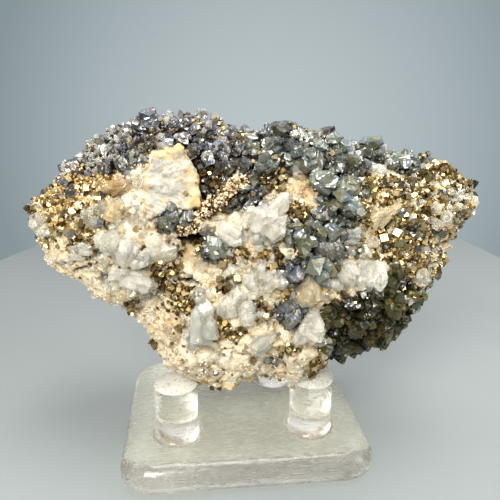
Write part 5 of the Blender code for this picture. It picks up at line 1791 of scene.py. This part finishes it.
class SPECIMEN_OT_grow_dark_specks(bpy.types.Operator):
    """Grows the small dark crystals between the gold ones and over the matrix"""
    bl_idname = "specimen.grow_dark_specks"
    bl_label = "Grow Dark Specks"

    def execute(self, context):
        grain = context.scene.specimen_sizes.dark_grain / MM
        rock = KIT["rock"]
        draw = np.random.default_rng(SEEDS["dark_specks"])
        crowd = np.clip(crowding(rock.middles, 3.6, 9.0) * 5 + 0.3, 0.0, 1.0)
        weights = np.clip(spots(DARK_SPOTS, rock.ragged) - 0.25, 0.0, 0.75)
        weights = np.maximum(weights, rock.zone("right_end") * crowd * rock.worn(0.03))
        weights = np.maximum(weights, rock.zone("left_slope") * 0.25 * crowd)
        weights = np.maximum(weights, 0.006 * crowd)
        weights *= np.where(rock.before(7.0), 1.0, 0.2)
        weights *= ~rock.zone("plate")
        weights *= np.where(inside(QUIET_FLANK, rock.seen), 0.05, 1.0)
        places = outer_places(rock, weights, 3200, 0.4 * grain, 1.5 * grain, 0.85, draw)
        across = places[0][:, 0]
        tones = draw.random(len(across)) ** 2
        tints = np.clip(0.35 + across / 60.0 + draw.uniform(-0.3, 0.3, len(across)), 0, 1)
        one_heap("sphalerite_specks", "sphalerite", "dark", "dark", places, draw, 0.1, tones,
                 tints)
        return {"FINISHED"}


class SPECIMEN_OT_scatter_grains(bpy.types.Operator):
    """Scatters pale sugary grains over the matrix, and rusty ones on the stained crusts"""
    bl_idname = "specimen.scatter_grains"
    bl_label = "Scatter Pale Grains"

    def execute(self, context):
        sizes = context.scene.specimen_sizes
        grain = sizes.sugar_grain / MM
        rock = KIT["rock"]
        draw = np.random.default_rng(SEEDS["grains"])
        weights = np.ones(len(rock.areas))
        for name in ("ridge_left", "ridge_right", "lower_right", "fissure", "hollow"):
            weights *= np.where(rock.zone(name), 0.02, 1.0)
        crusted = rock.zone("left_slope") | rock.zone("right_end")
        stained = spots(STAINS, rock.ragged, 1.0)
        weights *= np.where(crusted, 0.25 + 0.75 * stained, 1.0)
        weights *= np.where(rock.before(CRUST_DEPTH), 1.0, 0.3)
        weights *= seat_clearance(rock.middles) > 0.99
        weights *= np.where(inside(QUIET_FLANK, rock.seen), 0.5, 1.0)
        weights *= np.where(rock.seen[:, 1] < 12, 0.3, 1.0)
        places = spread(rock, weights, sizes.sugar_count, 0.45 * grain, 1.35 * grain, 0.8, draw)
        points = places[0]
        tints = np.clip(spots(STAINS, seen_at(points), 1.0) - 0.3 * draw.random(len(points)), 0, 1)
        patchy = np.clip(crowding(points, 4.0, 16.0) * 4, 0, 0.5)
        tints = np.maximum(tints, patchy * draw.random(len(points)))
        one_heap("pale_grains", "cream_rock", "grain", "grain", places, draw, 0.05,
                 draw.random(len(points)), tints)
        rusty = stained * crusted * rock.before(SPECK_DEPTH)
        places = outer_places(rock, rusty, 1500, 0.5 * grain, 1.3 * grain, 0.8, draw, high=0.7)
        count = len(places[0])
        one_heap("rusty_grains", "cream_rock", "grain", "grain", places, draw, 0.1,
                 draw.random(count), draw.uniform(0.6, 1.0, count))
        return {"FINISHED"}


# The stand


# Chamfer of a post's top (mm), and what counts as its sawn face
POST_CHAMFER = 0.3
SAWN_FROM = 0.35


def post_profile():
    """A post's outline from its middle at the foot to its middle at the top, in mm."""
    radius, foot = POST_RADIUS, POST_FOOT
    bend = [(radius + POST_FLARE * (1 - math.sin(a)), foot + POST_FLARE_HEIGHT * (1 - math.cos(a)))
            for a in (math.radians(15 * step) for step in range(7))]
    return [(0.0, foot), *bend, (radius, POST_TOP - POST_CHAMFER),
            (radius - 0.08, POST_TOP - 0.08), (radius - POST_CHAMFER, POST_TOP), (0.0, POST_TOP)]


class SPECIMEN_OT_polish_stand(bpy.types.Operator):
    """Makes the clear scratched base and its three posts with sawn tops"""
    bl_idname = "specimen.polish_stand"
    bl_label = "Polish the Stand"

    def execute(self, context):
        self.make_base()
        for name, (x, y) in POST_PLACES.items():
            self.make_post(name, x * MM, y * MM)
        return {"FINISHED"}

    def make_base(self):
        length, width, height = (side * MM for side in BASE_SIZE)
        bm = bmesh.new()
        bmesh.ops.create_cube(bm, size=1.0)
        bmesh.ops.scale(bm, vec=(length, width, height), verts=bm.verts)
        bmesh.ops.translate(bm, vec=(0, 0, height / 2), verts=bm.verts)
        upright = [e for e in bm.edges if abs(e.verts[0].co.z - e.verts[1].co.z) > height / 2]
        bevel(bm, upright, BASE_CORNER_RADIUS * MM, 16)
        for level, radius in ((0.0, BASE_EDGE_RADIUS), (height, BASE_UPPER_EDGE)):
            ring = [e for e in bm.edges if all(abs(v.co.z - level) < 0.01 * MM for v in e.verts)]
            bevel(bm, ring, radius * MM, 10)
        mesh = mesh_of(bm, "stand_base_clear")
        mesh.shade_smooth()
        mesh.set_sharp_from_angle(angle=math.radians(50))
        base = finished("stand_base_clear", mesh, "clear_acrylic", KIT["materials"]["acrylic"])
        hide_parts("stand_base")

    def make_post(self, node, x, y):
        bm = bmesh.new()
        points = [bm.verts.new((r * MM, 0.0, z * MM)) for r, z in post_profile()]
        edges = [bm.edges.new(pair) for pair in zip(points, points[1:])]
        bmesh.ops.spin(bm, geom=points + edges, cent=(0, 0, 0), axis=(0, 0, 1), angle=math.tau,
                       steps=64, use_merge=True)
        bmesh.ops.remove_doubles(bm, verts=bm.verts, dist=0.01 * MM)
        bmesh.ops.recalc_face_normals(bm, faces=bm.faces)
        bmesh.ops.translate(bm, vec=(x, y, 0), verts=bm.verts)
        for face in bm.faces:
            low = min(v.co.z for v in face.verts)
            face.material_index = int(low > (POST_TOP - SAWN_FROM) * MM)
        mesh = mesh_of(bm, node + "_clear")
        mesh.shade_smooth()
        mesh.set_sharp_from_angle(angle=math.radians(40))
        post = finished(node + "_clear", mesh, "clear_acrylic", KIT["materials"]["acrylic"],
                        KIT["materials"]["sawn"])
        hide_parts(node)


# Stage

# The table lies a hair below the base, as a clear block never quite touches what it is on
FLOOR_GAP = 0.05 * MM
FLOOR_CORNERS = [(0.1485, 0.9317), (-0.4523, -0.6), (0.2537, -0.6)]
FLOOR_DEPTH = 0.02
# Soft lights in metres: name, place, size, share of the key power and colour
LAMP_TARGET = (0, 0, 0.07)
WARM_LIGHT, WHITE_LIGHT = (1.0, 0.965, 0.90), (1.0, 1.0, 1.0)
LAMPS = [
    ("key_light", (-0.22, -0.50, 0.46), (0.28, 0.28), 1.0, WARM_LIGHT),
    ("top_light", (0.06, -0.06, 0.66), (0.3, 0.3), 0.45, WARM_LIGHT),
    ("side_light", (0.55, -0.30, 0.30), (0.25, 0.4), 0.25, WHITE_LIGHT),
]
# The camera, in metres
EYE = (-0.01564, -0.14722, 0.1069)
EYE_YAW = math.radians(6.81)
EYE_PITCH = math.radians(16.9)
EYE_ROLL = math.radians(0.84)
EYE_LENS = 36.475
EYE_SENSOR = 36
EYE_NEAR = 0.01
# The bright middle of the backdrop, how far the glow reaches, and the studio round the crystals
# from below to above
BACKDROP_YAW = EYE_YAW + math.radians(2)
BACKDROP_PITCH = math.radians(6)
BACKDROP_REACH = math.radians(29)
STUDIO_LOW, STUDIO_HIGH = (0.12, 0.13, 0.13), (0.86, 0.88, 0.91)


def looking(yaw, pitch):
    """The way that a turn to the right of +Y and a tilt down point."""
    return Vector((math.sin(yaw) * math.cos(pitch), math.cos(yaw) * math.cos(pitch),
                   -math.sin(pitch)))


def aimed(place, way):
    """The frame of a lamp or camera at a place, looking along a way."""
    return Matrix.Translation(place) @ way.to_track_quat("-Z", "Y").to_matrix().to_4x4()


def soft_light(name, place, size, power, colour):
    lamp = bpy.data.lights.new(name, "AREA")
    lamp.shape = "RECTANGLE"
    lamp.size, lamp.size_y = size
    lamp.energy = power
    lamp.color = colour
    thing = placed(name, lamp)
    thing.matrix_world = aimed(place, Vector(LAMP_TARGET) - Vector(place))


def axis_value(tree, coordinates, axis):
    """One of the three coordinates."""
    split = tree.nodes.new("ShaderNodeSeparateXYZ")
    tree.links.new(coordinates, split.inputs[0])
    return split.outputs[axis]


class SPECIMEN_OT_set_stage(bpy.types.Operator):
    """Sets the table, the backdrop, the soft lights and the camera"""
    bl_idname = "specimen.set_stage"
    bl_label = "Set the Stage"

    def execute(self, context):
        settings = context.scene.stage_settings
        self.make_floor(settings)
        self.make_backdrop(settings)
        for name, place, size, share, colour in LAMPS:
            soft_light(name, place, size, settings.key_power * share, colour)
        self.make_camera(context.scene)
        context.scene.view_settings.view_transform = "Standard"
        context.scene.view_settings.look = "Medium High Contrast"
        return {"FINISHED"}

    def make_floor(self, settings):
        bm = bmesh.new()
        bm.faces.new([bm.verts.new((x, y, -FLOOR_GAP)) for x, y in FLOOR_CORNERS])
        made = bmesh.ops.extrude_face_region(bm, geom=bm.faces[:])
        low = [item for item in made["geom"] if isinstance(item, bmesh.types.BMVert)]
        bmesh.ops.translate(bm, vec=(0, 0, -FLOOR_DEPTH), verts=low)
        bmesh.ops.recalc_face_normals(bm, faces=bm.faces)
        mesh = mesh_of(bm, "table_top")
        material, tree, shader = new_material("pale_table", Roughness=0.45)
        where = object_coordinates(tree)
        floor = tuple(settings.floor)
        worn = ramp(tree, noise_value(tree, where, 0.12, 4.0), 0.35, 0.65)
        colour = mix_colour(tree, worn, floor, tuple(c * 0.93 for c in floor))
        # The table is painted darker towards the back and the left, as painted shade where the
        # light falls off
        away = maths(tree, "SUBTRACT", axis_value(tree, where, "Y"),
                     times(tree, axis_value(tree, where, "X"), 0.5))
        colour = mix_colour(tree, ramp(tree, away, -0.05, 0.45), colour,
                            tuple(c * 0.58 for c in floor))
        join_up(tree, shader, colour)
        mesh.materials.append(material)
        placed("table_top", mesh)

    def make_backdrop(self, settings):
        world = bpy.data.worlds.new("backdrop")
        bpy.context.scene.world = world
        world.use_nodes = True
        tree = world.node_tree
        where = tree.nodes.new("ShaderNodeTexCoord").outputs["Generated"]
        dot = tree.nodes.new("ShaderNodeVectorMath")
        dot.operation = "DOT_PRODUCT"
        dot.inputs[1].default_value = looking(BACKDROP_YAW, BACKDROP_PITCH)
        tree.links.new(where, dot.inputs[0])
        glow = ramp(tree, dot.outputs["Value"], math.cos(BACKDROP_REACH), 1.0)
        colour = mix_colour(tree, glow, tuple(settings.backdrop_edge), tuple(settings.backdrop))
        above = ramp(tree, axis_value(tree, where, "Z"), -0.2, 0.9)
        studio = mix_colour(tree, above, STUDIO_LOW, STUDIO_HIGH)
        seen = tree.nodes.new("ShaderNodeLightPath").outputs["Is Camera Ray"]
        colour = mix_colour(tree, seen, studio, colour)
        tree.links.new(colour, tree.nodes["Background"].inputs["Color"])

    def make_camera(self, scene):
        camera = bpy.data.cameras.new("camera")
        camera.lens = EYE_LENS
        camera.sensor_width = EYE_SENSOR
        camera.clip_start = EYE_NEAR
        thing = placed("camera", camera)
        turn = aimed(EYE, looking(EYE_YAW, EYE_PITCH))
        thing.matrix_world = turn @ Matrix.Rotation(EYE_ROLL, 4, "Z")
        scene.camera = thing


OPERATORS = (
    SPECIMEN_OT_break_rock, SPECIMEN_OT_break_plate, SPECIMEN_OT_grow_sphalerite,
    SPECIMEN_OT_grow_quartz, SPECIMEN_OT_grow_pyrite, SPECIMEN_OT_grow_dark_specks,
    SPECIMEN_OT_scatter_grains, SPECIMEN_OT_polish_stand, SPECIMEN_OT_set_stage,
)


class SPECIMEN_PT_panel(bpy.types.Panel):
    """Lists the specimen's settings and steps"""
    bl_idname = "SPECIMEN_PT_panel"
    bl_label = "Crystal Specimen"
    bl_space_type = "VIEW_3D"
    bl_region_type = "UI"
    bl_category = "Specimen"

    def draw(self, context):
        layout = self.layout
        for group in ("specimen_sizes", "specimen_colours", "stage_settings"):
            settings = getattr(context.scene, group)
            box = layout.box()
            for key in settings.bl_rna.properties.keys():
                if key not in ("rna_type", "name"):
                    box.prop(settings, key)
        for operator in OPERATORS:
            layout.operator(operator.bl_idname)


CLASSES = (SpecimenSizes, SpecimenColours, StageSettings, *OPERATORS, SPECIMEN_PT_panel)


def register():
    for kind in CLASSES:
        bpy.utils.register_class(kind)
    bpy.types.Scene.specimen_sizes = PointerProperty(type=SpecimenSizes)
    bpy.types.Scene.specimen_colours = PointerProperty(type=SpecimenColours)
    bpy.types.Scene.stage_settings = PointerProperty(type=StageSettings)


def unregister():
    for key in ("specimen_sizes", "specimen_colours", "stage_settings"):
        delattr(bpy.types.Scene, key)
    for kind in reversed(CLASSES):
        bpy.utils.unregister_class(kind)


def main():
    register()
    prepare_kit()
    bpy.ops.specimen.break_rock()
    bpy.ops.specimen.break_plate()
    bpy.ops.specimen.grow_sphalerite()
    bpy.ops.specimen.grow_quartz()
    bpy.ops.specimen.grow_pyrite()
    bpy.ops.specimen.grow_dark_specks()
    bpy.ops.specimen.scatter_grains()
    bpy.ops.specimen.polish_stand()
    bpy.ops.specimen.set_stage()


if __name__ == "__main__":
    main()
